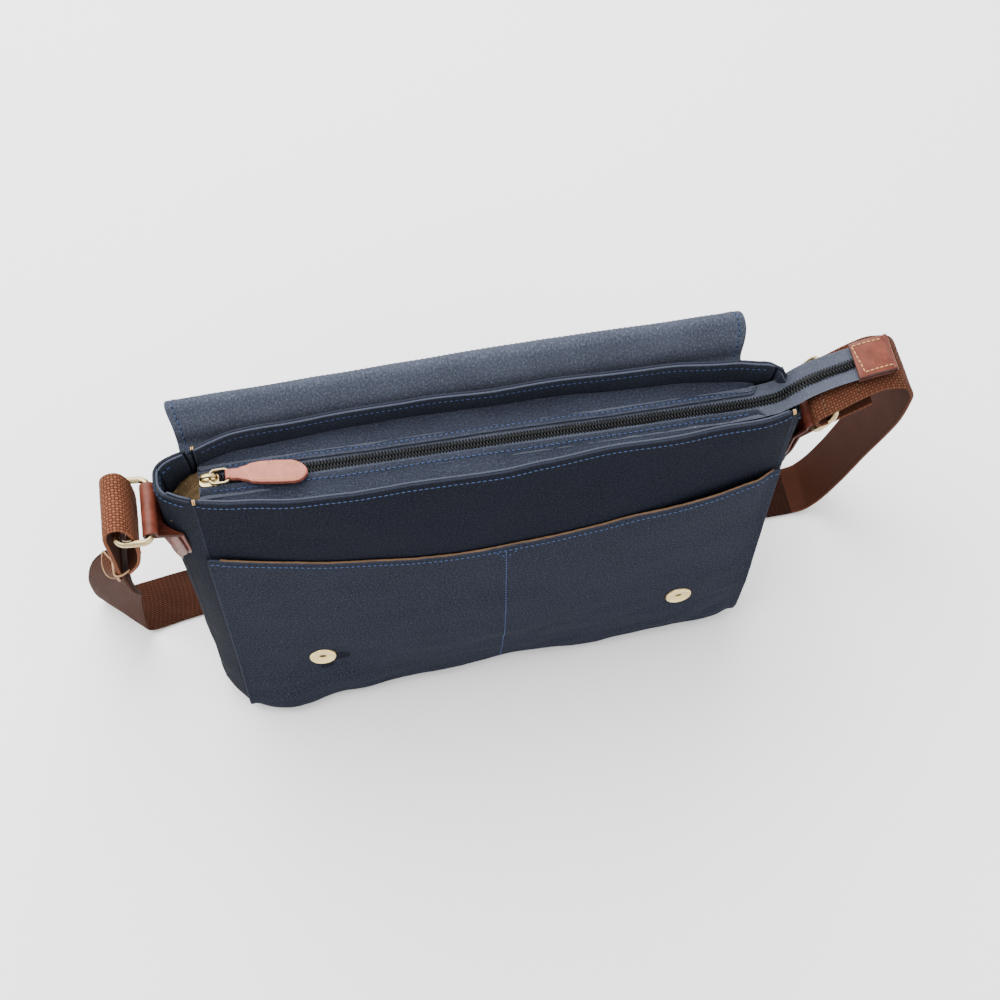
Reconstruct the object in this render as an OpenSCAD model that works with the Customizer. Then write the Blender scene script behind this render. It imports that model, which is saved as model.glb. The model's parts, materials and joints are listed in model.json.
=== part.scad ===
/* [Bag] */
// Length of the bag at its four corners
bag_l = 350; // [330:2:370]
// Height from the floor to the rim
bag_h = 258; // [250:1:266]
// Depth of the base, front to back
base_d = 78; // [74:1:82]
// Depth between the rim's seam corners
rim_d = 37; // [34:1:40]
// Thickness of one canvas panel with its backing
canvas_t = 2; // [1.6:0.1:2.2]
/* [Pocket and snaps] */
// Height of the slip pocket's mouth at its ends
pocket_h = 203; // [196:1:210]
// How far the pocket's mouth dips in the middle
pocket_dip = 20; // [10:1:26]
// Distance between the two magnetic snaps
snap_gap = 244; // [220:2:260]
// Height of the snaps on the pocket
snap_z = 66; // [60:1:72]
// Diameter of a magnetic snap
snap_d = 18; // [16:1:20]
/* [Flap] */
// Width of the flap
flap_w = 332; // [320:1:336]
// Thickness of the flap's two layers together
flap_t = 3; // [2.6:0.1:3]
// Length of the flap's front part
flap_front_l = 222; // [212:1:224]
/* [Strap and rings] */
// Width of the webbing
web_w = 36; // [34:1:37]
// Thickness of the webbing
web_t = 2.4; // [2:0.1:2.6]
// Height of the ring hinges
ring_z = 228; // [224:1:230]
// Wire diameter of the rings
ring_wire = 4; // [3.6:0.1:4.2]
/* [Hidden] */
navy = "#2b313d";
navy_light = "#4a505f";
tan = "#9a785b";
cognac = "#8f4a36";
web_brown = "#6b4436";
gold = "#d8c48a";
tape_navy = "#1d222c";
half_l = bag_l / 2;
gap = 0.3;
lining_t = 0.7;
facing_t = 1;
facing_h = 40;
rim_z = bag_h - 1;
edge_in = 9;
edge_r = 14;
shell_z = 1.6;
panel_gap = 0.35;
cols = 14;
rows = 8;
toe_rows = 4;

// Heights are given as a share of the bag's height
function half_d(t) = base_d / 2 + (rim_d - base_d) / 2 * t;
function belly(t) = 4 + 24 * t - 17.5 * t * t;
function side_bow(t, bow) = bow[0] + (bow[1] - bow[0]) * t;
function toe(z) = z < edge_r ? edge_in * pow(1 - z / edge_r, 2) : 0;
function along(a, b, n) = [for (i = [0 : n]) a + (b - a) * i / n];
// Heights of a skin's points, closer together where the wall turns in to the floor
function heights(z0, z1) = z0 < edge_r
  ? concat(along(z0, edge_r, toe_rows), [for (i = [1 : rows]) edge_r + (z1 - edge_r) * i / rows])
  : along(z0, z1, rows);

// Distance of the front or back panel's outer face from the middle plane
function face_y(x, z) = half_d(z / bag_h) - toe(z) + belly(z / bag_h) * (1 - pow(x / half_l, 2));
// Distance of a gusset's outer face from the middle plane
function side_x(y, z, bow) =
  half_l - toe(z) + side_bow(z / bag_h, bow) * (1 - pow(min(1, abs(y) / half_d(z / bag_h)), 2));

// A closed solid between two grids of points with the same layout
module between(a, b) {
  m = len(a);
  n = len(a[0]);
  at = function (k, i, j) k * m * n + i * n + j;
  skin = [for (i = [0 : m - 2]) for (j = [0 : n - 2])
    each [[at(0, i, j), at(0, i, j + 1), at(0, i + 1, j + 1)],
          [at(0, i, j), at(0, i + 1, j + 1), at(0, i + 1, j)],
          [at(1, i, j), at(1, i + 1, j + 1), at(1, i, j + 1)],
          [at(1, i, j), at(1, i + 1, j), at(1, i + 1, j + 1)]]];
  ends_i = [for (j = [0 : n - 2])
    each [[at(0, 0, j), at(1, 0, j), at(1, 0, j + 1)],
          [at(0, 0, j), at(1, 0, j + 1), at(0, 0, j + 1)],
          [at(0, m - 1, j), at(1, m - 1, j + 1), at(1, m - 1, j)],
          [at(0, m - 1, j), at(0, m - 1, j + 1), at(1, m - 1, j + 1)]]];
  ends_j = [for (i = [0 : m - 2])
    each [[at(0, i, 0), at(1, i + 1, 0), at(1, i, 0)],
          [at(0, i, 0), at(0, i + 1, 0), at(1, i + 1, 0)],
          [at(0, i, n - 1), at(1, i, n - 1), at(1, i + 1, n - 1)],
          [at(0, i, n - 1), at(1, i + 1, n - 1), at(0, i + 1, n - 1)]]];
  polyhedron([for (g = [a, b]) for (r = g) each r], concat(skin, ends_i, ends_j));
}

// A curved skin of the front (side -1) or back (side 1), between two depths below the outer face
module face_skin(side, in_a, in_b, z0, z1, half_w) {
  grid = function (inset)
    [for (x = along(-half_w * side, half_w * side, cols))
      [for (z = heights(z0, z1)) [x, side * (face_y(x, z) - inset), z]]];
  between(grid(in_b), grid(in_a));
}

// A curved skin of the left (side -1) or right (side 1) gusset, whose rim sinks by dip in the middle
module side_skin(side, bow, dip, in_a, in_b, z0, z1, edge_gap) {
  grid = function (inset)
    [for (u = along(1, -1, 8))
      [for (z = heights(z0, z1))
        let (y = side * u * (half_d(z / bag_h) - toe(z) - edge_gap),
          sink = dip * (1 - u * u) * pow(max(0, z / bag_h - 0.6) / 0.4, 2))
        [side * (side_x(y, z, bow) - inset), y, z - sink]]];
  between(grid(in_b), grid(in_a));
}
bow_left = [9, 20];
bow_right = [8, 11];
dip_left = 2;
dip_right = 24;
seam_in = 0.8;
corner_in = canvas_t + 0.6;

module front_panel() color(navy) face_skin(-1, 0, canvas_t, shell_z, rim_z, half_l - seam_in);
module back_panel() color(navy) face_skin(1, 0, canvas_t, shell_z, rim_z, half_l - seam_in);
module gusset_left() color(navy_light)
  side_skin(-1, bow_left, dip_left, 0, canvas_t, shell_z, rim_z, corner_in);
module gusset_right() color(navy_light)
  side_skin(1, bow_right, dip_right, 0, canvas_t, shell_z, rim_z, corner_in);

// The floor of the bag, inside the turned edges of its four sides
module floor_plate(inset, z0, t) {
  n = 16;
  front = [for (x = along(-half_l + inset, half_l - inset, n)) [x, -face_y(x, 0) + inset - edge_in]];
  back = [for (x = along(half_l - inset, -half_l + inset, n)) [x, face_y(x, 0) - inset + edge_in]];
  translate([0, 0, z0]) linear_extrude(t) polygon(concat(front, back));
}
module base_panel() color(navy) floor_plate(edge_in, 0, shell_z - gap);

lining_in = canvas_t + gap;
lining_top = bag_h - facing_h - 3;
lining_low = 5;
module front_lining() color(tan)
  face_skin(-1, lining_in, lining_in + lining_t, lining_low, lining_top, half_l - 5);
module back_lining() color(tan)
  face_skin(1, lining_in, lining_in + lining_t, lining_low, lining_top, half_l - 5);
side_lining_top = lining_top - 22;
module gusset_lining_left() color(tan)
  side_skin(-1, bow_left, 0, lining_in, lining_in + lining_t, lining_low, side_lining_top, 6);
module gusset_lining_right() color(tan)
  side_skin(1, bow_right, 0, lining_in, lining_in + lining_t, lining_low, side_lining_top, 6);
module base_lining() color(tan) floor_plate(edge_in + 4, shell_z + gap, lining_t);

facing_in = canvas_t + gap;
module front_facing() color(navy_light)
  face_skin(-1, facing_in, facing_in + facing_t, bag_h - facing_h, rim_z - 0.6, half_l - 5.5);
module back_facing() color(navy_light)
  face_skin(1, facing_in, facing_in + facing_t, bag_h - facing_h, rim_z - 0.6, half_l - 5.5);
module gusset_facing_left() color(navy_light)
  side_skin(-1, bow_left, dip_left, facing_in, facing_in + facing_t,
    bag_h - facing_h - 14, rim_z - 0.6, 6.5);
module gusset_facing_right() color(navy_light)
  side_skin(1, bow_right, dip_right, facing_in, facing_in + facing_t,
    bag_h - facing_h - 14, rim_z - 0.6, 6.5);

// The slip pocket lies on the front panel and reaches down to its turned edge
pocket_t = 1.2;
pocket_low = 14;
pocket_top = function (x) pocket_h - pocket_dip * (1 - pow(x / half_l, 2));
module pocket_skin(out_a, out_b, low, high) {
  grid = function (out)
    [for (x = along(half_l - 2, -half_l + 2, cols))
      [for (v = along(0, 1, rows))
        let (z = low(x) + (high(x) - low(x)) * v) [x, -face_y(x, z) - out, z]]];
  between(grid(out_a), grid(out_b));
}
module snap_at(side) {
  z = snap_z;
  x = side * snap_gap / 2;
  tilt = atan((face_y(x, z - 5) - face_y(x, z + 5)) / 10);
  turn = atan((face_y(x - 5, z) - face_y(x + 5, z)) / 10);
  translate([x, -face_y(x, z) - gap - pocket_t, z]) rotate([90 - tilt, 0, turn]) children();
}
module pocket_panel() color(navy)
  pocket_skin(gap, gap + pocket_t, function (x) pocket_low, function (x) pocket_top(x) - 1.2);
module pocket_edge() color("#8a5a33")
  pocket_skin(gap, gap + pocket_t + 0.4, function (x) pocket_top(x) - 1, function (x) pocket_top(x) + 0.4);

// Magnetic snaps: a dished disc with a pilot hole on the pocket
socket_t = 2.2;
socket_hole_r = 2.2;
module socket(side) snap_at(side) translate([0, 0, 0.15]) difference() {
  rotate_extrude($fn = 48) polygon([[0, 0], [snap_d / 2, 0], [snap_d / 2, 1.2], [snap_d / 2 - 1.2, socket_t],
    [0, socket_t]]);
  translate([0, 0, 0.5]) cylinder(h = socket_t, r = socket_hole_r, $fn = 32);
}
module snap_socket_left() color(gold) socket(-1);
module snap_socket_right() color(gold) socket(1);
module snap_socket_backings() color("silver") for (side = [-1, 1])
  translate([side * snap_gap / 2, -face_y(snap_gap / 2, snap_z) + lining_in + lining_t + 1.6, snap_z])
    rotate([90, 0, 0]) cylinder(h = 0.8, r = 7, center = true, $fn = 32);

// The zip lies in a shelf below the rim and its tail runs out over the right gusset
zip_z = 239;
zip_start = -168;
zip_bend = 164;
zip_rise = 4;
zip_drift = 4;
zip_path = [[zip_start, zip_drift, zip_z + zip_rise], [zip_bend, 0, zip_z], [173, 0, zip_z + 2.5],
  [180, 0, zip_z + 8], [188, 1, zip_z + 13], [198, 2.5, zip_z + 15.5], [210, 4.5, zip_z + 16.5],
  [220, 6.2, zip_z + 17.3], [230, 7.6, zip_z + 17.8]];
zip_tab_path = [[220, 6.2, zip_z + 17.3], [230, 7.6, zip_z + 17.8], [240, 8.8, zip_z + 17]];
// The straight part of the zip leans a little: its lift and drift at a place along the bag
zip_share = function (x) (zip_bend - x) / (zip_bend - zip_start);
zip_lift = function (x) zip_rise * zip_share(x);
zip_aside = function (x) zip_drift * zip_share(x);
// A flat ribbon along a path, from y offset y0 to y1 and from z offset z0 to z1
module path_strip(path, y0, y1, z0, z1) {
  low = [for (p = path) [for (y = [y1, y0]) p + [0, y, z0]]];
  high = [for (p = path) [for (y = [y1, y0]) p + [0, y, z1]]];
  between(low, high);
}
shelf_t = 1.4;
shelf_from = -167;
shelf_to = 163;
shelf_in = facing_in + facing_t + 0.6;
// One canvas shelf of the zip: its outer edge follows the facing, its inner edge is straight
module shelf(side) {
  z_out = zip_z + 0.5;
  row = function (lift)
    [for (x = side > 0 ? along(shelf_from, shelf_to, 16) : along(shelf_to, shelf_from, 16))
      [[x, side * (face_y(x, z_out) - shelf_in), z_out + zip_lift(x) + lift],
       [x, side * 7 + zip_aside(x), zip_z + 0.8 + zip_lift(x) + lift]]];
  between(row(0), row(shelf_t));
}
module zip_panel_front() color(navy_light) shelf(-1);
module zip_panel_back() color(navy_light) shelf(1);
tape_w = 10.5;
coil_in = 1;
coil_w = 3.2;
module zip_tape_front() color(tape_navy) path_strip(zip_path, -tape_w, -coil_w - 0.1, -0.9, 0);
module zip_tape_back() color(tape_navy) path_strip(zip_path, coil_w + 0.1, tape_w, -0.9, 0);
module zip_coil_front() color("#14171d") path_strip(zip_path, -coil_w, -coil_in, -1, 1.3);
module zip_coil_back() color("#14171d") path_strip(zip_path, coil_in, coil_w, -1, 1.3);
module zip_end_tab() color(cognac) {
  path_strip(zip_tab_path, -tape_w - 1, tape_w + 1, 1.6, 3.4);
  path_strip(zip_tab_path, -tape_w - 1, tape_w + 1, -3, -1.3);
  translate([240, 8.8, zip_z + 17.2]) cube([2, 2 * tape_w + 2, 6.4], center = true);
}

// Slider with its bridge: two plates above and below the coil, a nose and an arch
slider_x = zip_start + 6;
slider_l = 11;
slider_w = 8.6;
module on_zip() translate([slider_x, zip_aside(slider_x), zip_z + zip_lift(slider_x)])
  rotate([0, atan(zip_rise / (zip_bend - zip_start)), -atan(zip_drift / (zip_bend - zip_start))]) children();
module zip_slider() color("#b39a5e") on_zip() {
  translate([0, 0, 2.4]) cube([slider_l, slider_w, 1.2], center = true);
  translate([0, 0, -2.2]) cube([slider_l, slider_w, 1.2], center = true);
  translate([1.2 - slider_l / 2, 0, 0.1]) cube([2.4, 1.4, 5], center = true);
  for (x = [-3.4, 3.4]) translate([x, 0, 4.4]) cube([1.4, 2.4, 3.2], center = true);
  translate([0, 0, 6.4]) cube([8.2, 2.4, 1.2], center = true);
}
pull_wire = 1.6;
pull_x = 0.6;
pull_z = 4.6;
pull_l = 11;
pull_w = 9;
// A rounded rectangle bent from round wire
module wire_loop(l, w, wire) {
  r = 2.2;
  for (x = [-1, 1], y = [-1, 1]) translate([x * (l / 2 - r), y * (w / 2 - r), 0])
    rotate([0, 0, x > 0 ? (y > 0 ? 0 : -90) : (y > 0 ? 90 : 180)])
      rotate_extrude(angle = 90, $fn = 32) translate([r, 0]) circle(d = wire, $fn = 20);
  for (y = [-1, 1]) translate([-(l / 2 - r), y * w / 2, 0]) rotate([0, 90, 0])
    cylinder(h = l - 2 * r, d = wire, $fn = 20);
  for (x = [-1, 1]) translate([x * l / 2, -(w / 2 - r), 0]) rotate([-90, 0, 0])
    cylinder(h = w - 2 * r, d = wire, $fn = 20);
}
module zip_pull_ring() color("#b39a5e") on_zip()
  translate([pull_x + pull_l / 2, 0, pull_z]) wire_loop(pull_l, pull_w, pull_wire);
leather_l = 43;
leather_t = 1.6;
module zip_pull_leather() color("#b98a78") on_zip() translate([pull_x + pull_l, 0, pull_z]) {
  r = pull_wire / 2 + 0.1;
  rotate([90, 0, 0]) difference() {
    cylinder(h = 4, r = r + 1.3, center = true, $fn = 32);
    cylinder(h = 5, r = r, center = true, $fn = 32);
  }
  for (low = [0.05, -leather_t - 0.05]) translate([r + 0.7, 0, low])
    linear_extrude(leather_t) polygon([[0, -2], [6, -2.4], [11, -5], [17, -6.8], [leather_l - 6, -6.8],
      [leather_l - 2, -5], [leather_l, 0], [leather_l - 2, 5], [leather_l - 6, 6.8], [17, 6.8], [11, 5],
      [6, 2.4], [0, 2]]);
}

// The flap is a chain of stiff strips: each starts at a hinge, and leans by an angle from level
flap_x = -4;
hinge_gap = 2.4;
flap_l = [24, 70.2, flap_front_l];
flap_lean = [50, -58, -60];
front_k = len(flap_l) - 1;
flap_root = [35, 243];
function hinge_at(k) = k == 0 ? flap_root
  : hinge_at(k - 1) + flap_l[k - 1] * [cos(flap_lean[k - 1]), sin(flap_lean[k - 1])];
module on_strip(k) {
  p = hinge_at(k);
  translate([flap_x, p[0], p[1]]) rotate([flap_lean[k], 0, 0]) children();
}
module strip(k, low, high) {
  stop = k == front_k ? flap_l[k] : flap_l[k] - hinge_gap;
  on_strip(k) translate([-flap_w / 2, hinge_gap, low]) cube([flap_w, stop - hinge_gap, high - low]);
}
module flap_seam_strip() color(navy_light) {
  grid = function (out)
    [for (x = along(-flap_w / 2 + 6, flap_w / 2 - 6, cols))
      [for (z = [bag_h - 34, flap_root[1] - 2.2]) [x + flap_x, face_y(x + flap_x, z) + out, z]]];
  between(grid(gap), grid(gap + 1.6));
}
module flap_fold() color(navy_light) strip(0, -flap_t / 2, flap_t / 2);
module flap_top() color(navy_light) strip(1, -flap_t / 2, flap_t / 2);
module flap_front_outer() color(navy) strip(front_k, -flap_t / 2, -0.05);
module flap_front_lining() color(navy_light) strip(front_k, 0.05, flap_t / 2);
stud_s = 201;
module stud(side) on_strip(front_k) translate([side * snap_gap / 2 - flap_x, stud_s, flap_t / 2 + 0.05]) {
  cylinder(h = 2, d = snap_d, $fn = 48);
  cylinder(h = 3.2, r = socket_hole_r - 0.6, $fn = 32);
}
module snap_stud_left() color(gold) stud(-1);
module snap_stud_right() color(gold) stud(1);

// Rings hang on leather tabs that are sewn to the gussets
function ring_x(side) = side < 0 ? 200 : 192.5;
ring_l = 20;
ring_w = web_w + 6;
tilt_left = 10;
tilt_right = 55;
module ring(side, tilt) translate([side * ring_x(side), 0, ring_z]) rotate([0, -side * tilt, 0])
  translate([side * ring_l / 2, 0, 0]) wire_loop(ring_l, ring_w, ring_wire);
module ring_left() color(gold) ring(-1, tilt_left);
module ring_right() color(gold) ring(1, tilt_right);
tab_w = 34;
tab_t = 2;
tab_low = 178;
// The tab: a round eye for the ring's bar and two straps sewn down on the gusset
module ring_tab(side, bow, dip) {
  eye_r = ring_wire / 2 + 0.1;
  translate([side * ring_x(side), 0, ring_z]) rotate([90, 0, 0]) difference() {
    cylinder(h = tab_w, r = eye_r + tab_t, center = true, $fn = 40);
    cylinder(h = tab_w + 1, r = eye_r, center = true, $fn = 40);
  }
  grid = function (out)
    [for (y = along(side * tab_w / 2, -side * tab_w / 2, 8))
      [for (z = along(tab_low, ring_z - 3.6, 6))
        let (sink = dip * (1 - pow(y / half_d(z / bag_h), 2)) * pow(max(0, z / bag_h - 0.6) / 0.4, 2),
          push = pow((z - tab_low) / (ring_z - tab_low), 2) * out[1])
        [side * (side_x(y, z + sink, bow) + out[0] + push), y, z]]];
  between(grid([0.6, 0]), grid([0.6 + 2 * tab_t, ring_x(side) - side_x(0, ring_z, bow) - 1.5]));
}
module ring_tab_left() color(cognac) ring_tab(-1, bow_left, 0);
module ring_tab_right() color(cognac) ring_tab(1, bow_right, 0);

// Webbing: a ribbon between two edge curves, one thickness thick on the side that faces outwards
function middle(e) = (e[0] + e[1]) / 2;
function outward(edges) = [for (i = [0 : len(edges) - 1])
  let (t = middle(edges[min(len(edges) - 1, i + 1)]) - middle(edges[max(0, i - 1)]),
    c = cross(t, edges[i][1] - edges[i][0])) c / norm(c)];
module ribbon(edges) {
  out = outward(edges);
  between([for (i = [0 : len(edges) - 1]) [for (p = edges[i]) p + out[i] * web_t]], edges);
}
half_w = web_w / 2;
function flat_edges(path) = [for (p = path) [p - [0, half_w, 0], p + [0, half_w, 0]]];
loop_path = [[-227, 0, 190], [-231, 0, 202], [-232, 0, 216], [-231, 0, 231], [-228, 0, 240], [-222, 0, 244],
  [-216, 0, 243.5], [-211, 0, 238], [-208.5, 0, 227], [-209, 0, 213], [-214, 0, 199], [-223, 0, 190]];
module strap_left_loop() color(web_brown) ribbon(flat_edges(loop_path));
module strap_left_patch() color("#7a4a3a") {
  translate([-226, 0, 179.5]) rotate([0, 90, 0]) linear_extrude(3, center = true)
    hull() {
      translate([-5, 0]) square([2, web_w - 2], center = true);
      circle(r = half_w - 9, $fn = 32);
    }
}
fall_edges = [[[-230, -17, 172], [-230, 17, 172]], [[-231, -13, 152], [-238, 20, 154]],
  [[-232, -2, 128], [-254, 26, 134]], [[-236, 10, 104], [-266, 32, 112]], [[-241, 20, 72], [-275, 40, 84]],
  [[-245, 27, 40], [-281, 50, 52]], [[-248, 31, 5], [-285, 62, 5]]];
module strap_left_fall() color(web_brown) ribbon(fall_edges);
floor_y = 56;
floor_path = [[-262, floor_y - 6, 0], [-240, floor_y - 5, 0], [-205, floor_y - 1, 0], [-150, floor_y, 0],
  [150, floor_y, 0], [235.5, floor_y, 0]];
module strap_floor() color(web_brown) ribbon(flat_edges(floor_path));
fall_path = [[249.5, 3, 246.5], [253.5, 5, 230], [256, 12, 200], [259, 24, 160], [261, 38, 110],
  [259, 48, 60], [254, 54, 25], [248.5, 56, 9.5], [243.5, 56, 4.8], [238, 56, 2.7]];
module strap_right_fall() color(web_brown) ribbon(flat_edges(fall_path));
end_path = [[227, 0, 241], [212, 0, 240.2], [204, 0, 241], [200.4, 0, 244.4], [201.6, 0, 247.8],
  [206, 0, 249], [220, 1, 249.4], [232, 2, 249.8], [241, 3, 249.2], [247, 3, 247.2]];
module strap_right_end() color(web_brown) ribbon(flat_edges(end_path));

front_panel();
back_panel();
gusset_left();
gusset_right();
base_panel();
front_lining();
back_lining();
gusset_lining_left();
gusset_lining_right();
base_lining();
front_facing();
back_facing();
gusset_facing_left();
gusset_facing_right();
pocket_panel();
pocket_edge();
zip_panel_front();
zip_panel_back();
zip_tape_front();
zip_tape_back();
zip_coil_front();
zip_coil_back();
zip_end_tab();
zip_slider();
zip_pull_ring();
zip_pull_leather();
snap_socket_left();
snap_socket_right();
snap_socket_backings();
flap_seam_strip();
flap_fold();
flap_top();
flap_front_outer();
flap_front_lining();
snap_stud_left();
snap_stud_right();
ring_tab_left();
ring_tab_right();
ring_left();
ring_right();
strap_left_loop();
strap_left_patch();
strap_left_fall();
strap_floor();
strap_right_fall();
strap_right_end();
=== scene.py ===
import bpy
import json
import math
from mathutils import Matrix, Vector, noise


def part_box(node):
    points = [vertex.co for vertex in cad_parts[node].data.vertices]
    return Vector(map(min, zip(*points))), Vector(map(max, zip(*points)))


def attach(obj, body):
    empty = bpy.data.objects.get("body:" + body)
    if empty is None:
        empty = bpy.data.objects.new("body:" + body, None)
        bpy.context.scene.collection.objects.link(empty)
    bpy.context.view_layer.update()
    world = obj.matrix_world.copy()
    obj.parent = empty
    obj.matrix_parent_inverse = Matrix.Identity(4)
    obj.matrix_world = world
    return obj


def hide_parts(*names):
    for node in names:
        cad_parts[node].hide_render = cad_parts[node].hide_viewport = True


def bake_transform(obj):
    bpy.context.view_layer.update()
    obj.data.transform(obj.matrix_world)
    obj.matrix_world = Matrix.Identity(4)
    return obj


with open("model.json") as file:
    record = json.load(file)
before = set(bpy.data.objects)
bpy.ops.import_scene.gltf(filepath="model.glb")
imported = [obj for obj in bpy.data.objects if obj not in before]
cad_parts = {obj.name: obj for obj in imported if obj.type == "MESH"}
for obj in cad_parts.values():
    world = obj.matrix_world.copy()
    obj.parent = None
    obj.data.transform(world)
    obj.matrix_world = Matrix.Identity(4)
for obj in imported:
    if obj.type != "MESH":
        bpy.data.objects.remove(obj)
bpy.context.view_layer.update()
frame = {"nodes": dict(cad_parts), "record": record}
MM = 0.001
UP = Vector((0, 0, 1))
JOINT_ROWS = frame["record"]["behaviour"]["joints"]
JOINTS = {j["name"]: Vector(j["pos_m"]) * 1000 for j in JOINT_ROWS if "pos_m" in j}


def box(node):
    """A CAD node's lowest and highest corner in millimetres."""
    low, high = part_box(node)
    return Vector(low) * 1000, Vector(high) * 1000


# ---- camera
def camera(azimuth, elevation, roll, distance, target, focal):
    a, e, r = (math.radians(v) for v in (azimuth, elevation, roll))
    back = Vector((math.sin(a) * math.cos(e), -math.cos(a) * math.cos(e), math.sin(e)))
    right = Vector((math.cos(a), math.sin(a), 0))
    up = back.cross(right)
    right, up = (right * math.cos(r) + up * math.sin(r), up * math.cos(r) - right * math.sin(r))
    data = bpy.data.cameras.new("camera")
    data.sensor_width = 36
    data.lens = focal
    data.clip_start = 0.01
    obj = bpy.data.objects.new("camera", data)
    bpy.context.scene.collection.objects.link(obj)
    place = Matrix((right, up, back)).transposed().to_4x4()
    place.translation = (Vector(target) + back * distance) * MM
    obj.matrix_world = place
    bpy.context.scene.camera = obj


camera(-10.03, 61.99, -0.46, 941.5, (8.9, 15.7, 140.0), 52.2)


# ---- small helpers
def ease(a, b, x):
    t = min(1.0, max(0.0, (x - a) / (b - a)))
    return t * t * (3 - 2 * t)


def steps(a, b, n):
    return [a + (b - a) * i / n for i in range(n + 1)]


def table(points, x):
    """A smooth curve through (x, value) points."""
    if x <= points[0][0]:
        return points[0][1]
    for (xa, a), (xb, b) in zip(points, points[1:]):
        if x <= xb:
            return a + (b - a) * ease(xa, xb, x)
    return points[-1][1]


def arc(first, last, step):
    """Angles in radians, from whole degrees as range() counts them."""
    return [math.radians(a) for a in range(first, last, step)]


def spline(points, n):
    """n points on each span of a Catmull-Rom curve through points."""
    pts = [Vector(p) for p in points]
    pts = [pts[0] * 2 - pts[1]] + pts + [pts[-1] * 2 - pts[-2]]
    out = []
    for k in range(1, len(pts) - 2):
        a, b, c, d = pts[k - 1:k + 3]
        for s in range(n):
            t = s / n
            out.append(((b * 2) + (c - a) * t + (a * 2 - b * 5 + c * 4 - d) * t ** 2
                        + (b * 3 - a - c * 3 + d) * t ** 3) / 2)
    return out + [pts[-2]]


def fbm(x, y, z, octaves=3):
    return noise.fractal(Vector((x, y, z)), 0.9, 2.0, octaves)


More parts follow.
